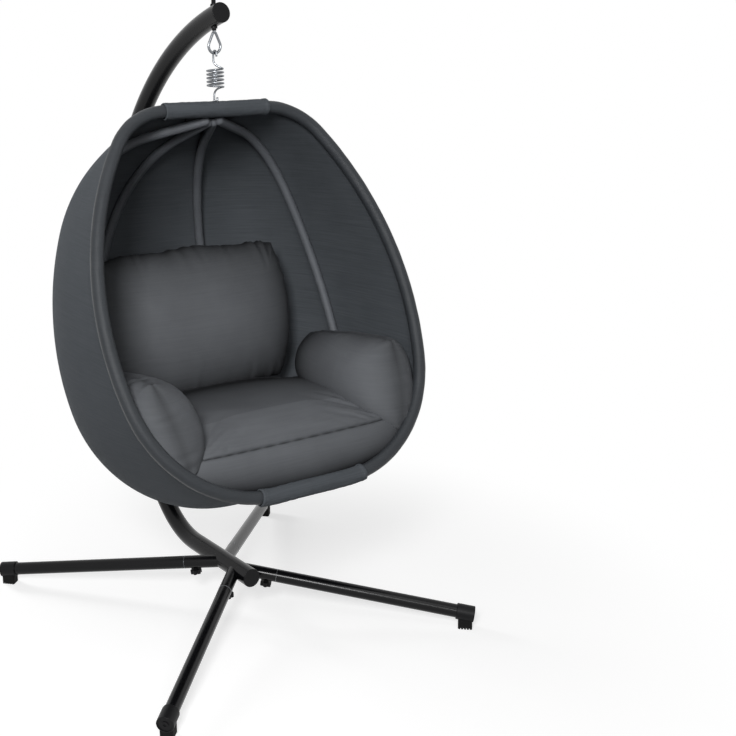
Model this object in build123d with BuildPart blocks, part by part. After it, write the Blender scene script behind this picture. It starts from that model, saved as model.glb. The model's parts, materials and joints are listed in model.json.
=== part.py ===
from build123d import *
import math
import os

os.makedirs("parts", exist_ok=True)

# Hanging egg chair on a C-shaped stand, in millimetres.
# The origin is on the floor, straight below the point that the chair hangs from.
# +Z is up, the chair faces -Y and the pole stands behind it at +Y.
# Left and right are the sitter's, so left is +X.

# Clearances
fit_gap = 0.2  # between pieces that slide together and stay
run_gap = 0.05  # radial, between a pin and the hole it turns in
soft_gap = 0.5  # between fabric or padding and what it lies on

# Pole and base tube
pole_od = 60.0
pole_wall = 2.0
pole_radius = 963.0  # centreline of the C
pole_reach = 722.0  # from the hanging axis back to the rearmost centreline point
hang_height = 1884.0  # pole centreline above the floor at the hanging axis
tip_overhang = 40.0  # pole end ahead of the hanging axis
foot_bend_radius = 280.0  # bend from the pole into the base tube
base_height = 152.0  # base tube centreline above the floor
base_front = 145.0  # front end of the base tube ahead of the hanging axis
pole_spigot_length = 115.0
pole_bolt_diameter = 8.0
pole_bolt_first = 38.0  # along the pole above its seam
pole_bolt_pitch = 39.0
plug_flange = 3.0
plug_depth = 22.0
plug_wall = 2.5

# Legs, sockets and feet
leg_od = 42.0
leg_wall = 1.5
front_socket_y = -50.0
rear_socket_y = 15.0
foot_spread_x = 555.0  # hanging axis to the end of a foot cap
foot_front_y = -570.0
foot_rear_y = 600.0
foot_height = 45.0  # leg centreline above the floor at the end of its cap
socket_length = 137.0  # from the base tube centreline to the seam
socket_wall = 1.8
leg_spigot_length = 60.0
knob_setback = 32.0  # from the seam back to the knob screw
knob_screw_diameter = 8.0
knob_diameter = 38.0
knob_height = 14.0
knob_lobes = 6
cap_wall = 4.0
cap_length = 55.0
cap_end = 7.0
cap_rim = 4.0  # width of the raised ring on the cap's end
cap_recess = 2.0
cap_dimple = 10.0
pad_width = 38.0
pad_length = 44.0
pad_groove = 3.0
pad_groove_depth = 4.0
pad_grooves = 5

# Eye bolt and its nuts
eye_wire = 8.0
eye_radius = 20.5  # centreline of the loop's round end
eye_throat_radius = 6.0
eye_height = 34.0  # between the centres of the round end and the throat
bush_od = 14.0
saddle_od = 20.0
saddle_rise = 3.5  # flat seat beyond the pole's surface
nut_flats = 13.0
nut_height = 6.0
washer_od = 18.0
washer_thickness = 2.0
cap_nut_height = 15.0

# Hanging spring
spring_wire = 6.0
coil_radius = 24.0
coil_turns = 5
coil_pitch = 10.6
hook_radius = 9.0
hook_tail = 8.0
upper_leg = 18.5  # straight wire below the upper hook
lower_leg = 11.0  # straight wire above the lower hook
leg_rise = 26.0  # height of the curve from a straight leg to the coil

# Basket rim and bowl
basket_tilt = 24.5  # rim plane leans back, bottom forward
rim_top_y = 0.0
rim_length = 1154.0  # top to bottom along the rim plane
rim_tube_od = 25.0
rim_tube_wall = 1.5
rim_cover_od = 38.0
rim_half_width = 525.0
rim_top_radius = 215.0
rim_low_radius = 392.0
rim_top_turn = 55.0
rim_low_turn = 102.0
bowl_depth = 708.0
bowl_top_radius = 590.0
bowl_low_radius = 500.0
bowl_top_turn = 73.0
bowl_low_turn = 93.0
bowl_fullness = 3.2  # exponent of the bowl's cross-section
shell_wall = 4.0
shell_eyelet = 22.0  # open radius in the fabric at the hubs
gore_angle = 18.0  # between neighbouring sections of the bowl
rib_angles = (36.0, 72.0, 108.0, 144.0)
rib_names = ("left_side", "left_back", "right_back", "right_side")
rib_od = 19.0
rib_wall = 1.2
rib_cover_od = 28.0
rib_press = 6.0  # how far the channels press into the padding
rib_bolt_diameter = 6.0
rib_bolt_head = 4.0
rib_bolt_out = 68.0  # from the fan axis to a rib's bolt
rib_end_out = 45.0  # from the fan axis to a rib's end

# Hubs, link and sleeves
hub_od = 32.0
hub_length = 150.0
hub_gap = 44.0  # between the ends of the two rim tubes
hub_plate = 4.0
hub_plate_radius = 88.0
hub_tongue = 90.0
rim_bolt_x = 52.0
rim_bolt_diameter = 6.0
link_pin_diameter = 8.0
link_thickness = 5.0
link_pitch = 17.0
link_radius = 9.0
link_eye = 9.0
link_slot = 30.0  # room for the link along X in the hub and the sleeve
sleeve_od = 50.0
sleeve_length = 362.0
sleeve_skin = 2.2
sleeve_hem = 14.0
sleeve_hem_step = 1.2

# Cushions, placed from the lowest point of the rim
seat_half_width = 350.0
seat_setback = 62.0
seat_length = 582.0
seat_seam_rise = 125.0
seat_crown = 55.0
seat_depth = 255.0
seat_front_drop = 94.0
seat_front_bulge = 18.0
seat_front_sweep = 30.0
seat_back_sweep = 90.0
seat_fullness = 4.0
back_half_width = 350.0
back_setback = 629.0
back_height = 470.0
back_lean = 7.1
back_front_bulge = 105.0
back_rear_bulge = 120.0
back_seam = 8.0
back_fullness = 3.2
arm_setback = 8.0  # behind the rim's plane
arm_length = 480.0
arm_height = 228.0
arm_thickness = 190.0
arm_seat_gap = 20.0  # from the seat's full width to the arm's foot
arm_overhang = 42.0  # how far the arm leans in over the seat
arm_lap = 76.0  # from the seat's seam up to the edge that leans in
arm_slope = 62.0  # fall of the crest from front to back
arm_tuck = 70.0  # how far the inner face draws back beside the back cushion
arm_crest = 30.0
arm_fullness = 5.0
arm_tip_drop = 45.0  # how far the front end hangs down beside the seat

# Worked-out places of the pole: centre of the C, bend and ends
pole_centre_y = pole_reach - pole_radius
pole_centre_z = hang_height - math.sqrt(pole_radius**2 - pole_centre_y**2)
bend_turn = math.degrees(
    math.acos((pole_centre_z - base_height - foot_bend_radius) / (pole_radius - foot_bend_radius))
)
bend_start_y = pole_centre_y + (pole_radius - foot_bend_radius) * math.sin(math.radians(bend_turn))
tip_angle = math.degrees(math.asin((-tip_overhang - pole_centre_y) / pole_radius))
pole_bore = pole_od - 2 * pole_wall
spigot_od = pole_bore - 2 * fit_gap
leg_bore = leg_od - 2 * leg_wall
socket_bore = leg_od - 2 * socket_wall
leg_spigot_od = socket_bore - 2 * fit_gap


def keep(builder, name):
    """Label a finished piece and write its file."""
    builder.part.label = name
    export_step(builder.part, f"parts/{name}.step")


def on_pole(angle, offset=0.0):
    """Point on the C, by its angle from the crown towards the back."""
    turn = math.radians(angle)
    reach = pole_radius + offset
    return Vector(0, pole_centre_y + reach * math.sin(turn), pole_centre_z + reach * math.cos(turn))


def pole_angle(distance):
    """Angle on the C of a point this far along the pole above the seam."""
    return 90.0 - math.degrees(distance / pole_radius)


def section_plane(wire):
    """Plane square to a path at its start."""
    return Plane(origin=wire.position_at(0), z_dir=wire.tangent_at(0))


def draw_lower_run():
    """Base tube, bend and lower half of the C, drawn as one path."""
    bend_mid = math.radians(bend_turn / 2)
    bend_end = math.radians(bend_turn)
    bend_points = [
        (0, bend_start_y + foot_bend_radius * math.sin(t), base_height + foot_bend_radius * (1 - math.cos(t)))
        for t in (0, bend_mid, bend_end)
    ]
    Line((0, -base_front, base_height), bend_points[0])
    ThreePointArc(*bend_points)
    start = 180.0 - bend_turn
    ThreePointArc(bend_points[2], on_pole((start + 90) / 2), on_pole(90))


# Leg axes: each socket and leg shares a plane whose Z runs out along the leg and whose Y points up
leg_sides = {
    "front_left": (1, front_socket_y, foot_front_y),
    "front_right": (-1, front_socket_y, foot_front_y),
    "rear_left": (1, rear_socket_y, foot_rear_y),
    "rear_right": (-1, rear_socket_y, foot_rear_y),
}
leg_planes = {}
leg_lengths = {}
for side, (sign, root_y, end_y) in leg_sides.items():
    root = Vector(0, root_y, base_height)
    run = Vector(sign * foot_spread_x, end_y, foot_height) - root
    leg_planes[side] = Plane(origin=root, x_dir=Vector(-run.Y, run.X, 0), z_dir=run)
    leg_lengths[side] = run.length


def knob_plane(side):
    """Plane at a hand screw, with Z pointing down away from the leg."""
    leg = leg_planes[side]
    origin = leg.from_local_coords((0, 0, socket_length - knob_setback))
    return Plane(origin=origin, x_dir=leg.x_dir, z_dir=-leg.y_dir)


# Lower pole: base tube, bend and half of the C in one bent tube, with four welded sockets
with BuildPart() as lower_pole:
    with BuildLine() as lower_run:
        draw_lower_run()
    lower_wire = lower_run.wire()
    with BuildSketch(section_plane(lower_wire)):
        Circle(pole_od / 2)
    sweep(path=lower_wire)
    for leg in leg_planes.values():
        with BuildSketch(leg):
            Circle(leg_od / 2)
        extrude(amount=socket_length)
    with BuildLine() as spigot_run:
        spigot_end = pole_angle(pole_spigot_length)
        ThreePointArc(on_pole(90), on_pole((90 + spigot_end) / 2), on_pole(spigot_end))
    spigot_wire = spigot_run.wire()
    with BuildSketch(section_plane(spigot_wire)):
        Circle(spigot_od / 2)
    sweep(path=spigot_wire)
    with BuildSketch(section_plane(lower_wire)):
        Circle(pole_bore / 2 - pole_wall)
    sweep(path=lower_wire, mode=Mode.SUBTRACT)
    with BuildSketch(section_plane(spigot_wire)):
        Circle(pole_bore / 2 - pole_wall)
    sweep(path=spigot_wire, mode=Mode.SUBTRACT)
    with BuildSketch(section_plane(lower_wire)):
        Circle(pole_bore / 2)
    extrude(amount=plug_depth + plug_flange, mode=Mode.SUBTRACT)
    for side, leg in leg_planes.items():
        with BuildSketch(leg.offset(socket_length)):
            Circle(socket_bore / 2)
        extrude(amount=-(leg_spigot_length + fit_gap), mode=Mode.SUBTRACT)
        with BuildSketch(knob_plane(side)):
            Circle(knob_screw_diameter / 2 + fit_gap)
        extrude(amount=leg_od, mode=Mode.SUBTRACT)
    for bolt in range(2):
        at = pole_angle(pole_bolt_first + bolt * pole_bolt_pitch)
        with BuildSketch(Plane(origin=on_pole(at), z_dir=on_pole(at, 1) - on_pole(at))):
            Circle(pole_bolt_diameter / 2 + fit_gap)
        extrude(amount=pole_od, both=True, mode=Mode.SUBTRACT)
keep(lower_pole, "lower_pole")

# Upper pole: the rest of the C, sleeved over the spigot and bored upright for the eye bolt
with BuildPart() as upper_pole:
    with BuildLine() as upper_run:
        ThreePointArc(on_pole(90), on_pole((90 + tip_angle) / 2), on_pole(tip_angle))
    upper_wire = upper_run.wire()
    with BuildSketch(section_plane(upper_wire)):
        Circle(pole_od / 2)
        Circle(pole_bore / 2, mode=Mode.SUBTRACT)
    sweep(path=upper_wire)
    with BuildSketch(Plane.XY.offset(hang_height)):
        Circle(bush_od / 2 + fit_gap)
    extrude(amount=pole_od, both=True, mode=Mode.SUBTRACT)
    for bolt in range(2):
        at = pole_angle(pole_bolt_first + bolt * pole_bolt_pitch)
        with BuildSketch(Plane(origin=on_pole(at), z_dir=on_pole(at, 1) - on_pole(at))):
            Circle(pole_bolt_diameter / 2 + fit_gap)
        extrude(amount=pole_od, both=True, mode=Mode.SUBTRACT)
keep(upper_pole, "upper_pole")

# Through-bolts of the pole joint, heads outside the C, and cap nuts inside it
with BuildPart() as pole_bolts:
    for bolt in range(2):
        at = pole_angle(pole_bolt_first + bolt * pole_bolt_pitch)
        out = on_pole(at, 1) - on_pole(at)
        with BuildSketch(Plane(origin=on_pole(at, -pole_od / 2 - nut_height), z_dir=out)):
            Circle(pole_bolt_diameter / 2)
        extrude(amount=pole_od + nut_height + fit_gap)
        with BuildSketch(Plane(origin=on_pole(at, pole_od / 2 + fit_gap), z_dir=out)) as head:
            Circle(pole_bolt_diameter)
        extrude(amount=pole_bolt_diameter * 0.7, taper=18)
keep(pole_bolts, "pole_joint_bolts")

with BuildPart() as pole_nuts:
    for bolt in range(2):
        at = pole_angle(pole_bolt_first + bolt * pole_bolt_pitch)
        inward = on_pole(at) - on_pole(at, 1)
        with BuildSketch(Plane(origin=on_pole(at, -pole_od / 2 - fit_gap), z_dir=inward)):
            RegularPolygon(nut_flats / 2, 6, major_radius=False)
        extrude(amount=nut_height)
        with BuildSketch(Plane(origin=on_pole(at, -pole_od / 2 - fit_gap - nut_height), z_dir=inward)):
            Circle(nut_flats * 0.45)
        extrude(amount=nut_height * 0.7, taper=25)
        with BuildSketch(Plane(origin=on_pole(at, -pole_od / 2 - fit_gap), z_dir=inward)):
            Circle(pole_bolt_diameter / 2 + run_gap)
        extrude(amount=nut_height, mode=Mode.SUBTRACT)
keep(pole_nuts, "pole_joint_cap_nuts")


def tube_plug(plane, name):
    """Flanged plastic plug that closes a pole end. The plane's Z points out of the tube."""
    with BuildPart() as plug:
        with BuildSketch(plane):
            Circle(pole_od / 2)
        extrude(amount=plug_flange)
        fillet(plug.faces().sort_by(Axis(plane.origin, plane.z_dir))[-1].edges(), plug_flange / 2)
        with BuildSketch(plane):
            Circle(pole_bore / 2 - soft_gap)
            Circle(pole_bore / 2 - soft_gap - plug_wall, mode=Mode.SUBTRACT)
        extrude(amount=-plug_depth)
    keep(plug, name)


tip_plane = Plane(origin=on_pole(tip_angle), z_dir=upper_wire.tangent_at(1))
tube_plug(tip_plane, "pole_tip_plug")
tube_plug(Plane(origin=(0, -base_front, base_height), z_dir=(0, -1, 0)), "base_tube_plug")

# Legs, each with a reduced spigot, its foot cap and its rubber pad
for side, leg in leg_planes.items():
    length = leg_lengths[side]
    tube_end = length - cap_end - fit_gap
    with BuildPart() as leg_tube:
        with BuildSketch(leg.offset(socket_length + fit_gap)):
            Circle(leg_od / 2)
        extrude(amount=tube_end - socket_length - fit_gap)
        with BuildSketch(leg.offset(socket_length + fit_gap)):
            Circle(leg_spigot_od / 2)
        extrude(amount=-leg_spigot_length)
        with BuildSketch(leg.offset(socket_length - leg_spigot_length)):
            Circle(leg_spigot_od / 2 - leg_wall)
        extrude(amount=length, mode=Mode.SUBTRACT)
        with BuildSketch(knob_plane(side)):
            Circle(knob_screw_diameter / 2 + fit_gap)
        extrude(amount=leg_od, mode=Mode.SUBTRACT)
    keep(leg_tube, f"leg_{side}")

    cap_od = leg_od + 2 * (cap_wall + fit_gap)
    with BuildPart() as foot_cap:
        with BuildSketch(leg.offset(length - cap_length)):
            Circle(cap_od / 2)
        extrude(amount=cap_length)
        fillet(foot_cap.edges().filter_by(GeomType.CIRCLE), cap_wall / 3)
        with BuildSketch(leg.offset(length - cap_length)):
            Circle(leg_od / 2 + fit_gap)
        extrude(amount=cap_length - cap_end, mode=Mode.SUBTRACT)
        with BuildSketch(leg.offset(length)):
            Circle(cap_od / 2 - cap_rim)
            Circle(cap_dimple, mode=Mode.SUBTRACT)
            Circle(cap_dimple / 2)
        extrude(amount=-cap_recess, mode=Mode.SUBTRACT)
    keep(foot_cap, f"foot_cap_{side}")

    pad_spot = leg.from_local_coords((0, 0, length - cap_length / 2))
    with BuildPart() as foot_pad:
        pad_floor = Plane(origin=(pad_spot.X, pad_spot.Y, 0), x_dir=(leg.z_dir.X, leg.z_dir.Y, 0))
        with BuildSketch(pad_floor):
            RectangleRounded(pad_length, pad_width, pad_width / 6)
        extrude(amount=pad_spot.Z - cap_od / 4)
        with BuildSketch(leg):
            Circle(cap_od / 2 + fit_gap)
        extrude(amount=length + cap_length, mode=Mode.SUBTRACT)
        with BuildSketch(pad_floor):
            with GridLocations(pad_length / pad_grooves, 0, pad_grooves - 1, 1):
                Rectangle(pad_groove, pad_width)
        extrude(amount=pad_groove_depth, mode=Mode.SUBTRACT)
    keep(foot_pad, f"foot_pad_{side}")

# Star-knob hand screws, one under each socket
with BuildPart() as knobs:
    for side in leg_planes:
        knob = knob_plane(side)
        with BuildSketch(knob.offset(leg_spigot_od / 2 - 3 * leg_wall)):
            Circle(knob_screw_diameter / 2)
        extrude(amount=leg_od / 2)
        with BuildSketch(knob.offset(leg_od / 2 + fit_gap)):
            Circle(knob_screw_diameter)
        extrude(amount=knob_height / 2)
        with BuildSketch(knob.offset(leg_od / 2 + knob_height / 3)):
            Circle(knob_diameter * 0.38)
            with PolarLocations(knob_diameter * 0.34, knob_lobes):
                Circle(knob_diameter * 0.16)
        extrude(amount=knob_height)
keep(knobs, "leg_knob_screws")

# Saddle bushes: plastic seats shaped to the sloping pole, with an upright bore for the eye bolt
crown_z = hang_height + pole_od / 2 / math.cos(math.asin(-pole_centre_y / pole_radius))
belly_z = 2 * hang_height - crown_z
seat_top_z = crown_z + saddle_rise
seat_low_z = belly_z - saddle_rise
with BuildPart() as pole_envelope:
    with BuildSketch(section_plane(upper_wire)):
        Circle(pole_od / 2 + fit_gap)
    sweep(path=upper_wire)
for name, seat_z, inward in (("upper_saddle_bush", seat_top_z, -1), ("lower_saddle_bush", seat_low_z, 1)):
    with BuildPart() as bush:
        with BuildSketch(Plane.XY.offset(seat_z)):
            Circle(saddle_od / 2)
        extrude(amount=inward * pole_od / 2)
        add(pole_envelope.part, mode=Mode.SUBTRACT)
        with BuildSketch(Plane.XY.offset(seat_z)):
            Circle(bush_od / 2)
        extrude(amount=inward * (saddle_rise + pole_od / 4))
        with BuildSketch(Plane.XY.offset(seat_z)):
            Circle(eye_wire / 2 + run_gap)
        extrude(amount=inward * pole_od, mode=Mode.SUBTRACT)
    keep(bush, name)

# Eye bolt: upright shank and a teardrop loop in the XZ plane, its throat just below the lower nut
low_nut_z = seat_low_z - run_gap - nut_height
throat_z = low_nut_z - soft_gap - eye_wire / 2 - eye_throat_radius
eye_centre_z = throat_z - eye_height
eye_bottom = eye_centre_z - eye_radius
loop_slope = math.asin((eye_radius - eye_throat_radius) / eye_height)


def loop_point(radius, centre_z, angle):
    """Point on one of the loop's two arcs, by its angle above the horizontal."""
    return (radius * math.cos(angle), 0, centre_z + radius * math.sin(angle))


washer_z = seat_top_z + run_gap
stack_top_z = washer_z + washer_thickness + 2 * run_gap + nut_height
with BuildPart() as eye_bolt:
    with BuildLine() as loop_line:
        throat_right = loop_point(eye_throat_radius, throat_z, loop_slope)
        throat_left = (-throat_right[0], 0, throat_right[2])
        round_right = loop_point(eye_radius, eye_centre_z, loop_slope)
        round_left = (-round_right[0], 0, round_right[2])
        side_angle = (loop_slope - math.pi / 2) / 2
        side_right = loop_point(eye_radius, eye_centre_z, side_angle)
        side_left = (-side_right[0], 0, side_right[2])
        ThreePointArc(throat_left, (0, 0, throat_z + eye_throat_radius), throat_right)
        Line(throat_right, round_right)
        ThreePointArc(round_right, side_right, (0, 0, eye_bottom))
        ThreePointArc((0, 0, eye_bottom), side_left, round_left)
        Line(round_left, throat_left)
    loop_wire = loop_line.wire()
    with BuildSketch(section_plane(loop_wire)):
        Circle(eye_wire / 2)
    sweep(path=loop_wire)
    with BuildSketch(Plane.XY.offset(throat_z + eye_throat_radius)):
        Circle(eye_wire / 2)
    extrude(amount=stack_top_z + nut_height / 2 - throat_z - eye_throat_radius)
keep(eye_bolt, "eye_bolt")

with BuildPart() as eye_washer:
    with BuildSketch(Plane.XY.offset(washer_z)):
        Circle(washer_od / 2)
        Circle(eye_wire / 2 + run_gap, mode=Mode.SUBTRACT)
    extrude(amount=washer_thickness)
keep(eye_washer, "eye_bolt_washer")

with BuildPart() as eye_nuts:
    for low_z in (washer_z + washer_thickness + run_gap, low_nut_z):
        with BuildSketch(Plane.XY.offset(low_z)):
            RegularPolygon(nut_flats / 2, 6, major_radius=False)
            Circle(eye_wire / 2 + run_gap, mode=Mode.SUBTRACT)
        extrude(amount=nut_height)
keep(eye_nuts, "eye_bolt_nuts")

with BuildPart() as eye_cap:
    with BuildSketch(Plane.XY.offset(stack_top_z + run_gap)):
        RegularPolygon(nut_flats / 2, 6, major_radius=False)
    extrude(amount=nut_height)
    with BuildSketch(Plane.XY.offset(stack_top_z + run_gap + nut_height)):
        Circle(nut_flats * 0.46)
    extrude(amount=cap_nut_height - nut_height)
    fillet(eye_cap.edges().sort_by(Axis.Z)[-1], nut_flats * 0.4)
    with BuildSketch(Plane.XY.offset(stack_top_z + run_gap)):
        Circle(eye_wire / 2 + run_gap)
    extrude(amount=nut_height / 2 + run_gap, mode=Mode.SUBTRACT)
keep(eye_cap, "eye_bolt_cap_nut")

# Hanging spring: one wire from the hook over the eye, through the coil, to the hook in the link
upper_hook_z = eye_bottom + eye_wire / 2 + spring_wire / 2 + soft_gap - hook_radius
coil_top = upper_hook_z - upper_leg - leg_rise
coil_low = coil_top - coil_turns * coil_pitch
lower_hook_z = coil_low - leg_rise - lower_leg
link_eye_z = lower_hook_z - hook_radius + spring_wire / 2 + soft_gap - link_eye / 2
rim_top_z = link_eye_z - link_pitch
helix_slope = coil_pitch / (2 * math.pi * coil_radius)


def helix_station(quarter):
    """Place and direction of the coil after so many quarter turns from its top."""
    turn = quarter * math.pi / 2
    place = Vector(coil_radius * math.cos(turn), coil_radius * math.sin(turn), coil_top - coil_pitch * quarter / 4)
    return place, Vector(-math.sin(turn), math.cos(turn), -helix_slope).normalized()


def biarc(start, start_way, end, end_way):
    """Two tangent arcs that leave start and reach end in the given directions."""
    chord = end - start
    ways = start_way + end_way
    a = 2 * (1 - start_way.dot(end_way))
    b = 2 * chord.dot(ways)
    c = chord.dot(chord)
    reach = (-b + math.sqrt(b * b + 4 * a * c)) / (2 * a) if a > 1e-9 else c / b
    middle_way = (end - end_way * reach) - (start + start_way * reach)
    joint = start + start_way * reach + middle_way * 0.5
    TangentArc(start, joint, tangent=start_way)
    TangentArc(joint, end, tangent=middle_way.normalized())


falling = Vector(0, 0, -1)
rising = Vector(0, 0, 1)
with BuildPart() as spring:
    with BuildLine() as spring_line:
        leg_y = hook_radius
        hook_tip = (0, -hook_radius, upper_hook_z)
        Line((0, -hook_radius, upper_hook_z - hook_tail), hook_tip)
        hook_crown = (0, 0, upper_hook_z + hook_radius)
        quarter_y = hook_radius * math.sqrt(0.5)
        ThreePointArc(hook_tip, (0, -quarter_y, upper_hook_z + quarter_y), hook_crown)
        ThreePointArc(hook_crown, (0, quarter_y, upper_hook_z + quarter_y), (0, leg_y, upper_hook_z))
        upper_leg_end = Vector(0, leg_y, coil_top + leg_rise)
        Line((0, leg_y, upper_hook_z), upper_leg_end)
        first, first_way = helix_station(0)
        biarc(upper_leg_end, falling, first, first_way)
        for quarter in range(4 * coil_turns):
            biarc(*helix_station(quarter), *helix_station(quarter + 1))
        last, last_way = helix_station(4 * coil_turns)
        lower_leg_start = Vector(0, leg_y, coil_low - leg_rise)
        biarc(last, last_way, lower_leg_start, falling)
        Line(lower_leg_start, (0, leg_y, lower_hook_z))
        hook_floor = (0, 0, lower_hook_z - hook_radius)
        ThreePointArc((0, leg_y, lower_hook_z), (0, quarter_y, lower_hook_z - quarter_y), hook_floor)
        ThreePointArc(hook_floor, (0, -quarter_y, lower_hook_z - quarter_y), (0, -hook_radius, lower_hook_z))
        Line((0, -hook_radius, lower_hook_z), (0, -hook_radius, lower_hook_z + hook_tail))
    spring_path = spring_line.wire()
    with BuildSketch(section_plane(spring_path)):
        Circle(spring_wire / 2)
    sweep(path=spring_path)
keep(spring, "hanging_spring")


def least_self_gap(wire, diameter, step=2.0):
    """Smallest free gap between stretches of a wire that aren't neighbours along it."""
    count = int(wire.length / step)
    points = [tuple(wire.position_at(i / count)) for i in range(count + 1)]
    apart = int(4 * diameter / step)
    return min(
        math.dist(points[i], points[j])
        for i in range(len(points))
        for j in range(i + apart, len(points))
    ) - diameter


print(f"spring: {coil_turns} turns, wire length {spring_path.length:.0f} mm,",
      f"least gap to itself {least_self_gap(spring_path, spring_wire):.2f} mm")

# Basket directions: down along the rim plane and back into the bowl
tilt = math.radians(basket_tilt)
down = Vector(0, -math.sin(tilt), -math.cos(tilt))
back = Vector(0, math.cos(tilt), -math.sin(tilt))
rim_top = Vector(0, rim_top_y, rim_top_z)
rim_bottom = rim_top + down * rim_length
fan_top = rim_top + back * (rim_cover_od / 2 + soft_gap)
rib_inset = shell_wall + soft_gap + rib_bolt_head + hub_plate + run_gap * 2 + rib_od / 2


def fan_plane(angle, top):
    """Plane of a meridian: X runs down the basket, Y out from its top-to-bottom axis."""
    turn = math.radians(angle)
    out = Vector(math.cos(turn), 0, 0) + back * math.sin(turn)
    return Plane(origin=top, x_dir=down, z_dir=down.cross(out))


def meridian(angle, inset, start):
    """Lines and arcs of a meridian, as (down, out) points, set in by inset from the outer face."""
    turn = math.radians(angle)
    side, rear = abs(math.cos(turn)), math.sin(turn)
    out = ((side / rim_half_width) ** bowl_fullness + (rear / bowl_depth) ** bowl_fullness) ** (
        -1 / bowl_fullness
    )
    share = rear**2

    def mix(rim_value, bowl_value):
        return rim_value + (bowl_value - rim_value) * share

    top_radius = mix(rim_top_radius, bowl_top_radius)
    low_radius = mix(rim_low_radius, bowl_low_radius)
    top_turn = math.radians(mix(rim_top_turn, bowl_top_turn))
    low_turn = math.radians(mix(rim_low_turn, bowl_low_turn))
    drop = rim_length - top_radius * (1 - math.cos(top_turn)) - low_radius * (1 + math.cos(low_turn))
    side_radius = drop / (math.cos(top_turn) - math.cos(low_turn))
    top_lead = out - top_radius * math.sin(top_turn) - side_radius * (1 - math.sin(top_turn))
    top_centre = (top_radius, top_lead)
    side_step = top_radius - side_radius
    side_centre = (
        top_centre[0] - side_step * math.cos(top_turn),
        top_centre[1] + side_step * math.sin(top_turn),
    )
    low_step = side_radius - low_radius
    low_centre = (
        side_centre[0] - low_step * math.cos(low_turn),
        side_centre[1] + low_step * math.sin(low_turn),
    )

    def bow(centre, radius, first, last):
        return [
            (centre[0] - (radius - inset) * math.cos(t), centre[1] + (radius - inset) * math.sin(t))
            for t in (first, (first + last) / 2, last)
        ]

    return [
        [(inset, start), (inset, top_lead)],
        bow(top_centre, top_radius, 0, top_turn),
        bow(side_centre, side_radius, top_turn, low_turn),
        bow(low_centre, low_radius, low_turn, math.pi),
        [(rim_length - inset, low_centre[1]), (rim_length - inset, start)],
    ]


def trace(stretches, plane=None):
    """Draw a list of lines and arcs, in a plane's own coordinates or placed in space."""
    for points in stretches:
        if plane is not None:
            points = [plane.from_local_coords(point) for point in points]
        if len(points) == 2:
            Line(*points)
        else:
            ThreePointArc(*points)


def swept_tube(angle, top, inset, start, outer, inner):
    """Round tube along a meridian."""
    with BuildPart() as tube:
        with BuildLine() as tube_line:
            trace(meridian(angle, inset, start), fan_plane(angle, top))
        tube_wire = tube_line.wire()
        with BuildSketch(section_plane(tube_wire)):
            Circle(outer / 2)
            Circle(inner / 2, mode=Mode.SUBTRACT)
        sweep(path=tube_wire)
    return tube


# Rim: a steel half hoop on each side, in a fabric cover
rim_bore = rim_tube_od - 2 * rim_tube_wall
for side, angle in (("left", 0.0), ("right", 180.0)):
    rim = swept_tube(angle, rim_top, 0, hub_gap / 2, rim_tube_od, rim_bore)
    with BuildPart() as rim_tube:
        add(rim.part)
        for end in (rim_top, rim_bottom):
            spot = end + Vector(math.copysign(rim_bolt_x, math.cos(math.radians(angle))), 0, 0)
            with BuildSketch(Plane(origin=spot, z_dir=back)):
                Circle(rim_bolt_diameter / 2 + fit_gap)
            extrude(amount=rim_tube_od, both=True, mode=Mode.SUBTRACT)
    keep(rim_tube, f"rim_tube_{side}")
    cover_start = hub_length / 2 + fit_gap
    cover = swept_tube(angle, rim_top, 0, cover_start, rim_cover_od, rim_tube_od + 2 * fit_gap)
    keep(cover, f"rim_cover_{side}")

# Ribs: steel tubes bolted to the hubs, each in a fabric channel
for name, angle in zip(rib_names, rib_angles):
    plane = fan_plane(angle, fan_top)
    rib = swept_tube(angle, fan_top, rib_inset, rib_end_out, rib_od, rib_od - 2 * rib_wall)
    with BuildPart() as rib_tube:
        add(rib.part)
        for end in (0, rim_length):
            spot = plane.from_local_coords((end, rib_bolt_out))
            with BuildSketch(Plane(origin=spot, z_dir=down)):
                Circle(rib_bolt_diameter / 2 + fit_gap)
            extrude(amount=2 * rib_inset, both=True, mode=Mode.SUBTRACT)
    keep(rib_tube, f"rib_{name}")
    cover_start = hub_plate_radius + soft_gap
    channel = swept_tube(angle, fan_top, rib_inset, cover_start, rib_cover_od, rib_od + 2 * fit_gap)
    keep(channel, f"rib_channel_{name}")

# Fabric shell: a thin wall lofted through bowl sections from rim to rim
with BuildPart() as shell:
    for step in range(int(180 / gore_angle) + 1):
        angle = step * gore_angle
        with BuildSketch(fan_plane(angle, fan_top)):
            with BuildLine():
                trace(meridian(angle, 0, shell_eyelet))
                trace(meridian(angle, shell_wall, shell_eyelet))
                Line((0, shell_eyelet), (shell_wall, shell_eyelet))
                Line((rim_length, shell_eyelet), (rim_length - shell_wall, shell_eyelet))
            make_face()
    loft()
keep(shell, "fabric_shell")

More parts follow.
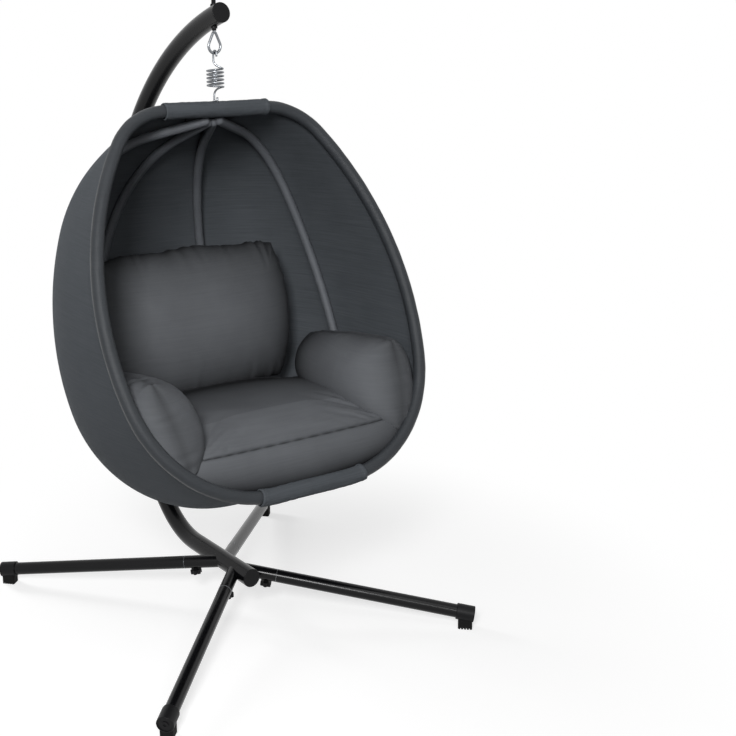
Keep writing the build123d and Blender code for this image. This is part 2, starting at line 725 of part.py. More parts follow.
# Room that the padding may fill: the bowl's inside, less the rib channels that press into it
room_inset = rib_inset + rib_cover_od / 2 - rib_press
with BuildPart() as room:
    for step in range(int(180 / gore_angle) + 1):
        angle = step * gore_angle
        with BuildSketch(fan_plane(angle, fan_top)):
            with BuildLine():
                trace(meridian(angle, room_inset, 1))
                Line((room_inset, 1), (rim_length - room_inset, 1))
            make_face()
    loft()
    for angle in (0.0, 180.0):
        with BuildSketch(fan_plane(angle, fan_top)):
            with BuildLine():
                trace(meridian(angle, room_inset, 0))
                Line((room_inset, 0), (rim_length - room_inset, 0))
            make_face()
        extrude(amount=rim_cover_od * 2, dir=-back)
    for angle in rib_angles:
        with BuildLine() as press_line:
            trace(meridian(angle, rib_inset, rib_end_out), fan_plane(angle, fan_top))
        press_wire = press_line.wire()
        with BuildSketch(section_plane(press_wire)):
            Circle(rib_cover_od / 2 + soft_gap)
        sweep(path=press_wire, mode=Mode.SUBTRACT)

# Hubs: tube couplers over the rim ends with a plate for the ribs, the top one open for the link
hub_bore = rim_tube_od + 2 * fit_gap
plate_inset = shell_wall + soft_gap + rib_bolt_head
for name, centre, inward in (("top_hub", rim_top, 1), ("bottom_hub", rim_bottom, -1)):
    fan_axis = centre + back * (rim_cover_od / 2 + soft_gap)
    plate_plane = Plane(origin=fan_axis + down * inward * plate_inset, x_dir=(1, 0, 0), z_dir=down * inward)
    with BuildPart() as hub:
        with BuildSketch(plate_plane):
            Circle(hub_plate_radius)
            with Locations((0, inward * hub_plate_radius)):
                Rectangle(2 * hub_plate_radius, 2 * hub_plate_radius, mode=Mode.SUBTRACT)
            with Locations((0, inward * (rim_cover_od / 2 + soft_gap) / 2)):
                Rectangle(hub_tongue, rim_cover_od / 2 + soft_gap)
        extrude(amount=hub_plate)
        with BuildSketch(Plane(origin=centre, z_dir=(1, 0, 0))):
            Circle(hub_od / 2)
        extrude(amount=hub_length / 2, both=True)
        with BuildSketch(Plane(origin=centre, z_dir=(1, 0, 0))):
            Circle(hub_bore / 2)
        extrude(amount=hub_length, both=True, mode=Mode.SUBTRACT)
        for angle in rib_angles:
            spot = fan_plane(angle, fan_axis).from_local_coords((0, rib_bolt_out))
            with BuildSketch(Plane(origin=spot, z_dir=down)):
                Circle(rib_bolt_diameter / 2 + fit_gap)
            extrude(amount=2 * rib_inset, both=True, mode=Mode.SUBTRACT)
        for x in (-rim_bolt_x, rim_bolt_x):
            with BuildSketch(Plane(origin=centre + Vector(x, 0, 0), z_dir=back)):
                Circle(rim_bolt_diameter / 2 + fit_gap)
            extrude(amount=hub_od, both=True, mode=Mode.SUBTRACT)
        if name == "top_hub":
            with BuildSketch(Plane(origin=centre, z_dir=(0, 0, 1))):
                Rectangle(link_slot, 2 * (hook_radius + spring_wire / 2 + soft_gap))
            extrude(amount=hub_od, mode=Mode.SUBTRACT)
            with BuildSketch(Plane(origin=centre, z_dir=(0, 1, 0))):
                Circle(link_pin_diameter / 2 + run_gap)
            extrude(amount=hub_od, both=True, mode=Mode.SUBTRACT)
    keep(hub, name)

# Bolts through the hubs: one per rib end and one per rim end
with BuildPart() as rib_bolts:
    for centre, inward in ((rim_top, 1), (rim_bottom, -1)):
        fan_axis = centre + back * (rim_cover_od / 2 + soft_gap)
        for angle in rib_angles:
            spot = fan_plane(angle, fan_axis).from_local_coords((0, rib_bolt_out))
            into = down * inward
            head_at = spot + into * (plate_inset - rib_bolt_head)
            with BuildSketch(Plane(origin=head_at, z_dir=into)):
                Circle(rib_bolt_diameter * 0.9)
            extrude(amount=rib_bolt_head)
            with BuildSketch(Plane(origin=head_at, z_dir=into)):
                Circle(rib_bolt_diameter / 2)
            extrude(amount=rib_bolt_head + hub_plate + rib_od + rib_bolt_diameter / 2)
keep(rib_bolts, "rib_bolts")

with BuildPart() as rim_bolts:
    for centre in (rim_top, rim_bottom):
        for x in (-rim_bolt_x, rim_bolt_x):
            spot = centre + Vector(x, 0, 0)
            with BuildSketch(Plane(origin=spot - back * (hub_od / 2 + rib_bolt_head / 2), z_dir=back)):
                Circle(rim_bolt_diameter / 2)
            extrude(amount=hub_od + rib_bolt_head / 2)
            with BuildSketch(Plane(origin=spot - back * (hub_od / 2 + rib_bolt_head / 2), z_dir=back)):
                Circle(rim_bolt_diameter * 0.8)
            extrude(amount=rib_bolt_head / 2)
keep(rim_bolts, "rim_bolts")

# Hanger pin across the top hub, and the link that hangs it on the spring
with BuildPart() as link_pin:
    with BuildSketch(Plane(origin=rim_top - Vector(0, hub_od / 2, 0), z_dir=(0, 1, 0))):
        Circle(link_pin_diameter / 2)
    extrude(amount=hub_od)
    for z_dir in (Vector(0, 1, 0), Vector(0, -1, 0)):
        with BuildSketch(Plane(origin=rim_top + z_dir * (hub_od / 2), z_dir=z_dir)):
            Circle(link_pin_diameter * 0.75)
        extrude(amount=rib_bolt_head)
keep(link_pin, "hanger_pin")

with BuildPart() as link:
    with BuildSketch(Plane(origin=rim_top, x_dir=(1, 0, 0), z_dir=(0, -1, 0))):
        with Locations((0, link_pitch / 2)):
            SlotCenterToCenter(link_pitch, 2 * link_radius, rotation=90)
        Circle(link_pin_diameter / 2 + run_gap, mode=Mode.SUBTRACT)
        with Locations((0, link_pitch)):
            Circle(link_eye / 2, mode=Mode.SUBTRACT)
    extrude(amount=link_thickness / 2, both=True)
keep(link, "hanger_link")

# Wrap sleeves over the rim at the top and the bottom, hollowed round the hubs, with hemmed ends


def sleeve_path(centre, lead, radius, inward):
    """Middle stretch of the rim: straight, then the start of the bend on each side."""
    half = sleeve_length / 2
    turn = max(half - lead, 0) / radius
    flat = min(lead, half)

    def place(side, angle):
        return centre + Vector(side * (flat + radius * math.sin(angle)), 0, 0) + down * (
            inward * radius * (1 - math.cos(angle))
        )

    if turn > 0:
        ThreePointArc(place(-1, turn), place(-1, turn / 2), place(-1, 0))
    Line(place(-1, 0), place(1, 0))
    if turn > 0:
        ThreePointArc(place(1, 0), place(1, turn / 2), place(1, turn))


rim_lines = meridian(0, 0, 0)
top_lead = rim_lines[0][1][1]
low_lead = rim_lines[4][0][1]
rim_back = rim_cover_od / 2 + soft_gap
for name, centre, lead, radius, inward in (
    ("top_sleeve", rim_top, top_lead, rim_top_radius, 1),
    ("bottom_sleeve", rim_bottom, low_lead, rim_low_radius, -1),
):
    with BuildPart() as sleeve:
        with BuildLine() as sleeve_line:
            sleeve_path(centre, lead, radius, inward)
        sleeve_wire = sleeve_line.wire()
        with BuildSketch(section_plane(sleeve_wire)):
            Circle(sleeve_od / 2)
        sweep(path=sleeve_wire)
        for end, way in ((0, 1), (1, -1)):
            hem = Plane(origin=sleeve_wire.position_at(end), z_dir=sleeve_wire.tangent_at(end) * way)
            with BuildSketch(hem):
                Circle(sleeve_od / 2 + sleeve_hem_step)
            extrude(amount=sleeve_hem)
        with BuildSketch(section_plane(sleeve_wire)):
            Circle(rim_cover_od / 2 + soft_gap)
        sweep(path=sleeve_wire, mode=Mode.SUBTRACT)
        with BuildSketch(Plane(origin=centre, z_dir=(1, 0, 0))):
            Circle(sleeve_od / 2 - sleeve_skin)
        extrude(amount=hub_length / 2 + soft_gap, both=True, mode=Mode.SUBTRACT)
        back_plane = Plane(origin=centre - down * inward * soft_gap, x_dir=(1, 0, 0), z_dir=down * inward)
        slot_height = plate_inset + hub_plate + 2 * soft_gap
        with BuildSketch(back_plane):
            with Locations((0, -inward * (rim_back - soft_gap + sleeve_od / 2))):
                Rectangle(2 * sleeve_length, sleeve_od)
            with Locations((0, -inward * sleeve_od / 2)):
                Rectangle(hub_tongue + 2 * soft_gap, sleeve_od)
        extrude(amount=slot_height, mode=Mode.SUBTRACT)
        if name == "top_sleeve":
            with BuildSketch(Plane(origin=centre, z_dir=(0, 0, 1))):
                Rectangle(link_slot, 2 * (hook_radius + spring_wire / 2 + soft_gap))
            extrude(amount=sleeve_od, mode=Mode.SUBTRACT)
    keep(sleeve, name)


def swell(fraction, fullness):
    """Share of a cushion's full thickness left at a fraction of its half width."""
    return (1 - abs(fraction) ** fullness) ** (1 / fullness)


cushion_stations = (-0.99, -0.86, -0.5, 0.0, 0.5, 0.86, 0.99)

seat_front_y = rim_bottom.Y + seat_setback
seat_back_y = seat_front_y + seat_length
seat_seam_z = rim_bottom.Z + seat_seam_rise
back_low_y = rim_bottom.Y + back_setback
seat_crown_radius = ((seat_length / 2) ** 2 + seat_crown**2) / (2 * seat_crown)
seat_middle_y = seat_front_y + seat_length / 2


def seat_top(y):
    """Height of the seat's crown on the centre line."""
    return seat_seam_z + seat_crown - seat_crown_radius + math.sqrt(seat_crown_radius**2 - (y - seat_middle_y) ** 2)


back_low_z = seat_top(back_low_y - back_seam) + soft_gap - back_seam * math.sin(math.radians(back_lean))
arm_foot_x = seat_half_width + arm_seat_gap
arm_edge_x = seat_half_width - arm_overhang

# Seat cushion: crowned top panel, rounded front boxing, underside bedded in the bowl
with BuildPart() as seat:
    for fraction in cushion_stations:
        full = swell(fraction, seat_fullness)
        front_y = seat_front_y + seat_front_sweep * fraction**2
        rear_y = seat_back_y - seat_back_sweep * fraction**2
        middle_y = (front_y + rear_y) / 2
        seam = (front_y, seat_seam_z)
        tail = (rear_y, seat_seam_z)
        toe = (front_y, seat_seam_z - seat_front_drop * full)
        heel = (rear_y - 20, seat_seam_z - seat_depth * full * 0.5)
        with BuildSketch(Plane(origin=(seat_half_width * fraction, 0, 0), x_dir=(0, 1, 0), z_dir=(1, 0, 0))):
            with BuildLine():
                ThreePointArc(seam, (middle_y, seat_seam_z + seat_crown * full), tail)
                ThreePointArc(tail, (rear_y + 12 * full, (tail[1] + heel[1]) / 2), heel)
                ThreePointArc(heel, (middle_y, seat_seam_z - seat_depth * full), toe)
                ThreePointArc(toe, (front_y - seat_front_bulge * full, (seam[1] + toe[1]) / 2), seam)
            make_face()
    loft()
    add(room.part, mode=Mode.INTERSECT)
keep(seat, "seat_cushion")

# Back cushion: a knife-edged pillow, drawn in between its corners
with BuildPart() as back_pillow:
    lean = math.radians(back_lean)
    pillow_up = Vector(0, math.sin(lean), math.cos(lean))
    for fraction in cushion_stations:
        full = swell(fraction, back_fullness)
        rise = back_height * (1 - 0.02 * (1 - fraction**2)) if abs(fraction) < 0.9 else back_height * 0.86
        sink = 0 if abs(fraction) < 0.9 else back_height * 0.08
        edge = back_seam * max(full, 0.5)
        origin = (back_half_width * fraction, back_low_y, back_low_z)
        with BuildSketch(Plane(origin=origin, x_dir=pillow_up, z_dir=(1, 0, 0))):
            with BuildLine():
                ThreePointArc((sink, edge), ((sink + rise) / 2, back_front_bulge * full + edge), (rise, edge))
                Line((rise, edge), (rise, -edge))
                ThreePointArc((rise, -edge), ((sink + rise) / 2, -back_rear_bulge * full - edge), (sink, -edge))
                Line((sink, -edge), (sink, edge))
            make_face()
    loft()
    add(room.part, mode=Mode.INTERSECT)
keep(back_pillow, "back_cushion")

# Arm cushions: plump rolls along the sides, lapping the seat and bedded against the bowl
for side, sign in (("left", 1), ("right", -1)):
    with BuildPart() as arm:
        for fraction in cushion_stations:
            full = swell(fraction, arm_fullness)
            along = (1 + fraction) / 2
            tuck = arm_tuck * min(max((along - 0.55) / 0.3, 0), 1)
            foot_z = seat_seam_z + 8 - arm_tip_drop * max(1 - along / 0.3, 0)
            edge_z = seat_seam_z + arm_lap
            crest_z = seat_seam_z + arm_height - arm_slope * along
            middle = (arm_foot_x + tuck + arm_thickness * 0.3, (foot_z + crest_z) / 2)
            outline = (
                (arm_foot_x + tuck, foot_z),
                (arm_edge_x + tuck, edge_z),
                (arm_edge_x + tuck - 4, (edge_z * 2 + crest_z) / 3),
                (arm_edge_x + tuck + arm_crest, crest_z - arm_crest),
                (arm_foot_x + tuck + arm_crest, crest_z),
                (arm_edge_x + arm_thickness + arm_tuck, crest_z - arm_crest),
                (arm_edge_x + arm_thickness + arm_tuck, foot_z - arm_crest),
            )
            behind = arm_setback + arm_length * along
            rise = rim_bottom.Z - behind * math.sin(tilt)
            shrunk = [
                (
                    sign * (middle[0] + (x - middle[0]) * full),
                    (middle[1] + (z - middle[1]) * full - rise) / math.cos(tilt),
                )
                for x, z in outline
            ]
            with BuildSketch(Plane(origin=rim_bottom + back * behind, x_dir=(1, 0, 0), z_dir=-back)):
                with BuildLine():
                    Line(shrunk[0], shrunk[1])
                    ThreePointArc(shrunk[1], shrunk[2], shrunk[3])
                    ThreePointArc(shrunk[3], shrunk[4], shrunk[5])
                    Line(shrunk[5], shrunk[6])
                    Line(shrunk[6], shrunk[0])
                make_face()
        loft()
        add(room.part, mode=Mode.INTERSECT)
    keep(arm, f"arm_cushion_{side}")
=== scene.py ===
import bpy
import json
import math
from mathutils import Matrix, Vector, kdtree, noise


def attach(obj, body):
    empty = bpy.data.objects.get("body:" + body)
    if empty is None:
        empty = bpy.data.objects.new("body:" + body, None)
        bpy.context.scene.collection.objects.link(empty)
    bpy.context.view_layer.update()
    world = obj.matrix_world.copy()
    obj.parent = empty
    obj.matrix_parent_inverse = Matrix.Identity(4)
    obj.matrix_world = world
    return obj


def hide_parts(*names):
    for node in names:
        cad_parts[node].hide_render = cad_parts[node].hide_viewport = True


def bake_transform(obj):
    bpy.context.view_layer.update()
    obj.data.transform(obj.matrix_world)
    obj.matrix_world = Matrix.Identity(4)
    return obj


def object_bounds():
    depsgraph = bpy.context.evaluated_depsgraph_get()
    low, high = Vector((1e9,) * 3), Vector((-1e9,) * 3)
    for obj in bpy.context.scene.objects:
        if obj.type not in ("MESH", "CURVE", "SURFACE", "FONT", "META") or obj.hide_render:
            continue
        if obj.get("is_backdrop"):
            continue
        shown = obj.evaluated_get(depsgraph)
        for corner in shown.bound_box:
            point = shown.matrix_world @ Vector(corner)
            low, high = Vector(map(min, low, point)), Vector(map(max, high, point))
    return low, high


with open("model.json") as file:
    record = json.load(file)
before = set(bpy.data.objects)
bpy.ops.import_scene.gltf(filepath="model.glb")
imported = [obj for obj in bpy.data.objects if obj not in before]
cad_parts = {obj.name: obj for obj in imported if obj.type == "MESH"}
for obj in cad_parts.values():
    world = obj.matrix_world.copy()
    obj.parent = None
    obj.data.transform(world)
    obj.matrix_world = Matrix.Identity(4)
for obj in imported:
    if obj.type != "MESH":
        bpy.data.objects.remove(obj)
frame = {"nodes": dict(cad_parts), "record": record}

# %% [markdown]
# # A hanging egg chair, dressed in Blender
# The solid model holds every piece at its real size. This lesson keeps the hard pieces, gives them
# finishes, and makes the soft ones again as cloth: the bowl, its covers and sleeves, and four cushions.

nodes = frame["nodes"]
solid_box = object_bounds()
scene = bpy.context.scene
print("solid pieces:", len(nodes), "box:", solid_box)

# %% [markdown]
# The basket is laid out as a fan. Every meridian of the bowl lies in a plane that holds the line from the
# rim's top to its bottom, and is a chain of two short lines and three arcs. The curves could be drawn by
# hand, but the cloth has to lie where the solids are, so the numbers are the solid model's own, in metres.
# A pair of values is for a meridian at the rim and for the one at the middle of the bowl's back.

# %% The basket's layout
TILT = math.radians(24.5)
DOWN = Vector((0, -math.sin(TILT), -math.cos(TILT)))
BACK = Vector((0, math.cos(TILT), -math.sin(TILT)))
RIM_TOP = Vector((0, 0, 1.615464))
RIM_LENGTH = 1.154
RIM_BOTTOM = RIM_TOP + DOWN * RIM_LENGTH
SHELL_SETBACK = 0.0195
RIB_INSET = 0.0221
RIB_ANGLES = {"left_side": 36.0, "left_back": 72.0, "right_back": 108.0, "right_side": 144.0}
HALF_WIDTH, DEPTH, SQUARENESS = 0.525, 0.708, 3.2
TOP_RADIUS, BOTTOM_RADIUS = (0.215, 0.590), (0.392, 0.500)
TOP_TURN, BOTTOM_TURN = (55, 73), (102, 93)


def meridian(angle, inset, start, count):
    """Evenly spaced points of a meridian, as (down, out) pairs."""
    turn = math.radians(angle)
    side, rear = abs(math.cos(turn)), abs(math.sin(turn))
    reach = ((side / HALF_WIDTH) ** SQUARENESS + (rear / DEPTH) ** SQUARENESS) ** (-1 / SQUARENESS)
    share = rear * rear
    mix = lambda pair: pair[0] + (pair[1] - pair[0]) * share
    r1, r3 = mix(TOP_RADIUS), mix(BOTTOM_RADIUS)
    t1, t2 = math.radians(mix(TOP_TURN)), math.radians(mix(BOTTOM_TURN))
    height = RIM_LENGTH - r1 * (1 - math.cos(t1)) - r3 * (1 + math.cos(t2))
    r2 = height / (math.cos(t1) - math.cos(t2))
    lead = reach - r1 * math.sin(t1) - r2 * (1 - math.sin(t1))
    c1 = (r1, lead)
    c2 = (c1[0] - (r1 - r2) * math.cos(t1), c1[1] + (r1 - r2) * math.sin(t1))
    c3 = (c2[0] - (r2 - r3) * math.cos(t2), c2[1] + (r2 - r3) * math.sin(t2))
    arcs = [(c1, r1 - inset, 0, t1), (c2, r2 - inset, t1, t2), (c3, r3 - inset, t2, math.pi)]
    lengths = [lead - start] + [r * (b - a) for _, r, a, b in arcs] + [c3[1] - start]
    total = sum(lengths)
    points = []
    for i in range(count):
        s, k = total * i / (count - 1), 0
        while k < 4 and s > lengths[k]:
            s -= lengths[k]
            k += 1
        if k == 0:
            points.append((inset, start + s))
        elif k == 4:
            points.append((RIM_LENGTH - inset, c3[1] - s))
        else:
            centre, r, a, _ = arcs[k - 1]
            points.append((centre[0] - r * math.cos(a + s / r), centre[1] + r * math.sin(a + s / r)))
    return points


def in_basket(angle, down, out, setback):
    """A meridian's point, placed in space."""
    turn = math.radians(angle)
    sideways = Vector((math.cos(turn) * out, 0, 0))
    return RIM_TOP + BACK * (setback + math.sin(turn) * out) + DOWN * down + sideways


print("rim from", tuple(round(c, 3) for c in RIM_TOP), "to", tuple(round(c, 3) for c in RIM_BOTTOM))

# %% [markdown]
# Most soft pieces here start as one flat grid, like cloth on a table, whose points are then carried to
# their places. A tube is a grid rolled up and joined along its long edge. Small helpers keep selection
# and edit mode in order, since operators act on whatever is selected.


# %% Helpers for pieces
def only(piece):
    """Select one piece and make it active."""
    if bpy.context.mode != "OBJECT":
        bpy.ops.object.mode_set(mode="OBJECT")
    bpy.ops.object.select_all(action="DESELECT")
    piece.select_set(True)
    bpy.context.view_layer.objects.active = piece


def tidy(piece, merge=1e-5):
    """Join doubled points and turn all faces outwards."""
    only(piece)
    bpy.ops.object.mode_set(mode="EDIT")
    bpy.ops.mesh.select_all(action="SELECT")
    bpy.ops.mesh.remove_doubles(threshold=merge)
    bpy.ops.mesh.normals_make_consistent(inside=False)
    bpy.ops.object.mode_set(mode="OBJECT")
    bpy.ops.object.shade_smooth()


def cloth_grid(name, columns, rows, place):
    """A grid whose points go to place(across, along), both from 0 to 1."""
    bpy.ops.object.select_all(action="DESELECT")
    bpy.ops.mesh.primitive_grid_add(x_subdivisions=columns, y_subdivisions=rows, size=2)
    piece = bpy.context.object
    piece.name = piece.data.name = name
    for point in piece.data.vertices:
        point.co = place((point.co.x + 1) / 2, (point.co.y + 1) / 2)
    return piece


def apply_modifier(piece, name):
    only(piece)
    bpy.ops.object.modifier_apply(modifier=name)


def rolled(path, radius, around, name):
    """A tube of cloth on a path of points. radius(along, turn) gives its size all over."""
    count = len(path)
    axis = []
    for i in range(count):
        axis.append((path[min(i + 1, count - 1)] - path[max(i - 1, 0)]).normalized())
    first = BACK - axis[0] * BACK.dot(axis[0])
    sides = [first.normalized()]
    for i in range(1, count):
        side = sides[-1] - axis[i] * sides[-1].dot(axis[i])
        sides.append(side.normalized())

    def place(across, along):
        i = min(round(along * (count - 1)), count - 1)
        turn = across * 2 * math.pi
        other = axis[i].cross(sides[i])
        return path[i] + (sides[i] * math.cos(turn) + other * math.sin(turn)) * radius(along, turn)

    piece = cloth_grid(name, around, count - 1, place)
    tidy(piece)
    return piece


def ruffle(point, scale, strength):
    """Soft, repeatable unevenness."""
    return noise.noise(Vector(point) * scale) * strength


print("helpers ready")

# %% [markdown]
# Oxford cloth is a plain weave with thicker slubs that run along the weft, which show as faint level
# streaks. A picture of cloth would need a file and a flat map of each piece. One node group needs neither:
# it gives tone and height from Object coordinates. A product of sine waves makes the threads on a face of
# any direction, and a stretched noise makes the slubs.


# %% Helpers for node groups
def new_group(name, inputs, outputs):
    """An empty shader group with its sockets, and its two end nodes."""
    tree = bpy.data.node_groups.new(name, "ShaderNodeTree")
    for label, kind in inputs:
        tree.interface.new_socket(label, in_out="INPUT", socket_type=kind)
    for label, kind in outputs:
        tree.interface.new_socket(label, in_out="OUTPUT", socket_type=kind)
    return tree, tree.nodes.new("NodeGroupInput"), tree.nodes.new("NodeGroupOutput")


def maths(tree, kind, a, b=None):
    """A Math node on sockets or plain numbers."""
    node = tree.nodes.new("ShaderNodeMath")
    node.operation = kind
    for socket, value in zip(node.inputs, (a, b)):
        if value is None:
            continue
        if isinstance(value, (int, float)):
            socket.default_value = value
        else:
            tree.links.new(value, socket)
    return node.outputs[0]


def stretched_noise(tree, vector, stretch, detail):
    """Noise with its own scale along each axis."""
    scaled = tree.nodes.new("ShaderNodeVectorMath")
    scaled.operation = "MULTIPLY"
    scaled.inputs[1].default_value = stretch
    tree.links.new(vector, scaled.inputs[0])
    field = tree.nodes.new("ShaderNodeTexNoise")
    field.inputs["Scale"].default_value = 1
    field.inputs["Detail"].default_value = detail
    tree.links.new(scaled.outputs[0], field.inputs["Vector"])
    return field.outputs["Fac"]


print("node helpers ready")

# %% Oxford weave
THREAD_PITCH = 0.0019
SLUB_STRETCH, CLOUD_STRETCH = (7, 7, 310), (9, 9, 9)
THREAD_TONE, SLUB_LIFT = 0.05, 3.0
weave, weave_in, weave_out = new_group(
    "oxford_weave",
    [("Vector", "NodeSocketVector"), ("Slubs", "NodeSocketFloat"), ("Clouds", "NodeSocketFloat")],
    [("Tone", "NodeSocketFloat"), ("Height", "NodeSocketFloat")],
)
spot = weave_in.outputs["Vector"]
threads = weave.nodes.new("ShaderNodeVectorMath")
threads.operation = "SCALE"
threads.inputs["Scale"].default_value = 2 * math.pi / THREAD_PITCH
weave.links.new(spot, threads.inputs[0])
split = weave.nodes.new("ShaderNodeSeparateXYZ")
weave.links.new(threads.outputs[0], split.inputs[0])
sx, sy, sz = (maths(weave, "SINE", split.outputs[i]) for i in range(3))
grid = maths(weave, "ADD", maths(weave, "MULTIPLY", sx, sy), maths(weave, "MULTIPLY", sy, sz))
grid = maths(weave, "ADD", grid, maths(weave, "MULTIPLY", sz, sx))
slub = maths(weave, "SUBTRACT", stretched_noise(weave, spot, SLUB_STRETCH, 3), 0.5)
cloud = maths(weave, "SUBTRACT", stretched_noise(weave, spot, CLOUD_STRETCH, 4), 0.5)
slub_share = maths(weave, "MULTIPLY", slub, weave_in.outputs["Slubs"])
cloud_share = maths(weave, "MULTIPLY", cloud, weave_in.outputs["Clouds"])
tone = maths(weave, "ADD", slub_share, cloud_share)
tone = maths(weave, "ADD", tone, maths(weave, "MULTIPLY", grid, THREAD_TONE))
weave.links.new(maths(weave, "ADD", tone, 0.5), weave_out.inputs["Tone"])
relief = maths(weave, "ADD", grid, maths(weave, "MULTIPLY", slub, SLUB_LIFT))
weave.links.new(relief, weave_out.inputs["Height"])
print("effect:", weave.name)

# %% [markdown]
# Powder coat, plastic, rubber and plated steel look smooth from afar, but each has a fine grain and is a
# little uneven in tone. A second group gives both, with the size of the grain as its input.

# %% Fine grain
DUST_STRETCH = (14, 14, 14)
grain, grain_in, grain_out = new_group(
    "fine_grain",
    [("Vector", "NodeSocketVector"), ("Size", "NodeSocketFloat")],
    [("Tone", "NodeSocketFloat"), ("Height", "NodeSocketFloat")],
)
peel = grain.nodes.new("ShaderNodeTexNoise")
peel.inputs["Detail"].default_value = 2
grain.links.new(grain_in.outputs["Vector"], peel.inputs["Vector"])
grain.links.new(grain_in.outputs["Size"], peel.inputs["Scale"])
dust = stretched_noise(grain, grain_in.outputs["Vector"], DUST_STRETCH, 5)
grain.links.new(peel.outputs["Fac"], grain_out.inputs["Height"])
grain.links.new(dust, grain_out.inputs["Tone"])
print("effect:", grain.name)

# %% [markdown]
# Each finish is one Principled shader. The effect group drives its colour, roughness and bump, and what is
# the same all over is set on the shader's own sockets. The cushions' cloth also has shade painted into its
# colour: a near-black is mixed in where a mark on the piece's points says so.


# %% Finishes
# A near-black, mixed into the cushions' colour as painted shade.
SHADE_COLOUR = "0c0c0d"


def linear(code):
    """A screen colour such as 4a4b4f as linear light."""
    parts = [int(code[i : i + 2], 16) / 255 for i in (0, 2, 4)]
    return [c / 12.92 if c <= 0.04045 else ((c + 0.055) / 1.055) ** 2.4 for c in parts] + [1]


def finish_of(name, group, values, dark, light, rough, bump, distance, seams=False, **constants):
    """A material whose group mixes dark and light, and runs roughness between two values."""
    material = bpy.data.materials.new(name)
    material.use_nodes = True
    tree = material.node_tree
    shader = tree.nodes["Principled BSDF"]
    place = tree.nodes.new("ShaderNodeTexCoord")
    effect = tree.nodes.new("ShaderNodeGroup")
    effect.node_tree = group
    tree.links.new(place.outputs["Object"], effect.inputs["Vector"])
    for label, value in values.items():
        effect.inputs[label].default_value = value
    colour = tree.nodes.new("ShaderNodeMix")
    colour.data_type = "RGBA"
    colour.inputs["A"].default_value = linear(dark)
    colour.inputs["B"].default_value = linear(light)
    tree.links.new(effect.outputs["Tone"], colour.inputs["Factor"])
    shade = colour.outputs["Result"]
    # Painted shade: the mark on the points mixes a near-black into the colour, along the seams and where the
    # cushions lie against each other.
    if seams:
        mark = tree.nodes.new("ShaderNodeAttribute")
        mark.attribute_name = "seam"
        sewn = tree.nodes.new("ShaderNodeMix")
        sewn.data_type = "RGBA"
        sewn.inputs["B"].default_value = linear(SHADE_COLOUR)
        tree.links.new(mark.outputs["Fac"], sewn.inputs["Factor"])
        tree.links.new(shade, sewn.inputs["A"])
        shade = sewn.outputs["Result"]
    tree.links.new(shade, shader.inputs["Base Color"])
    gloss = tree.nodes.new("ShaderNodeMapRange")
    gloss.inputs["To Min"].default_value = rough[0]
    gloss.inputs["To Max"].default_value = rough[1]
    tree.links.new(effect.outputs["Tone"], gloss.inputs["Value"])
    tree.links.new(gloss.outputs["Result"], shader.inputs["Roughness"])
    lift = tree.nodes.new("ShaderNodeBump")
    lift.inputs["Strength"].default_value = bump
    lift.inputs["Distance"].default_value = distance
    tree.links.new(effect.outputs["Height"], lift.inputs["Height"])
    tree.links.new(lift.outputs["Normal"], shader.inputs["Normal"])
    for label, value in constants.items():
        shader.inputs[label.replace("_", " ")].default_value = value
    return material


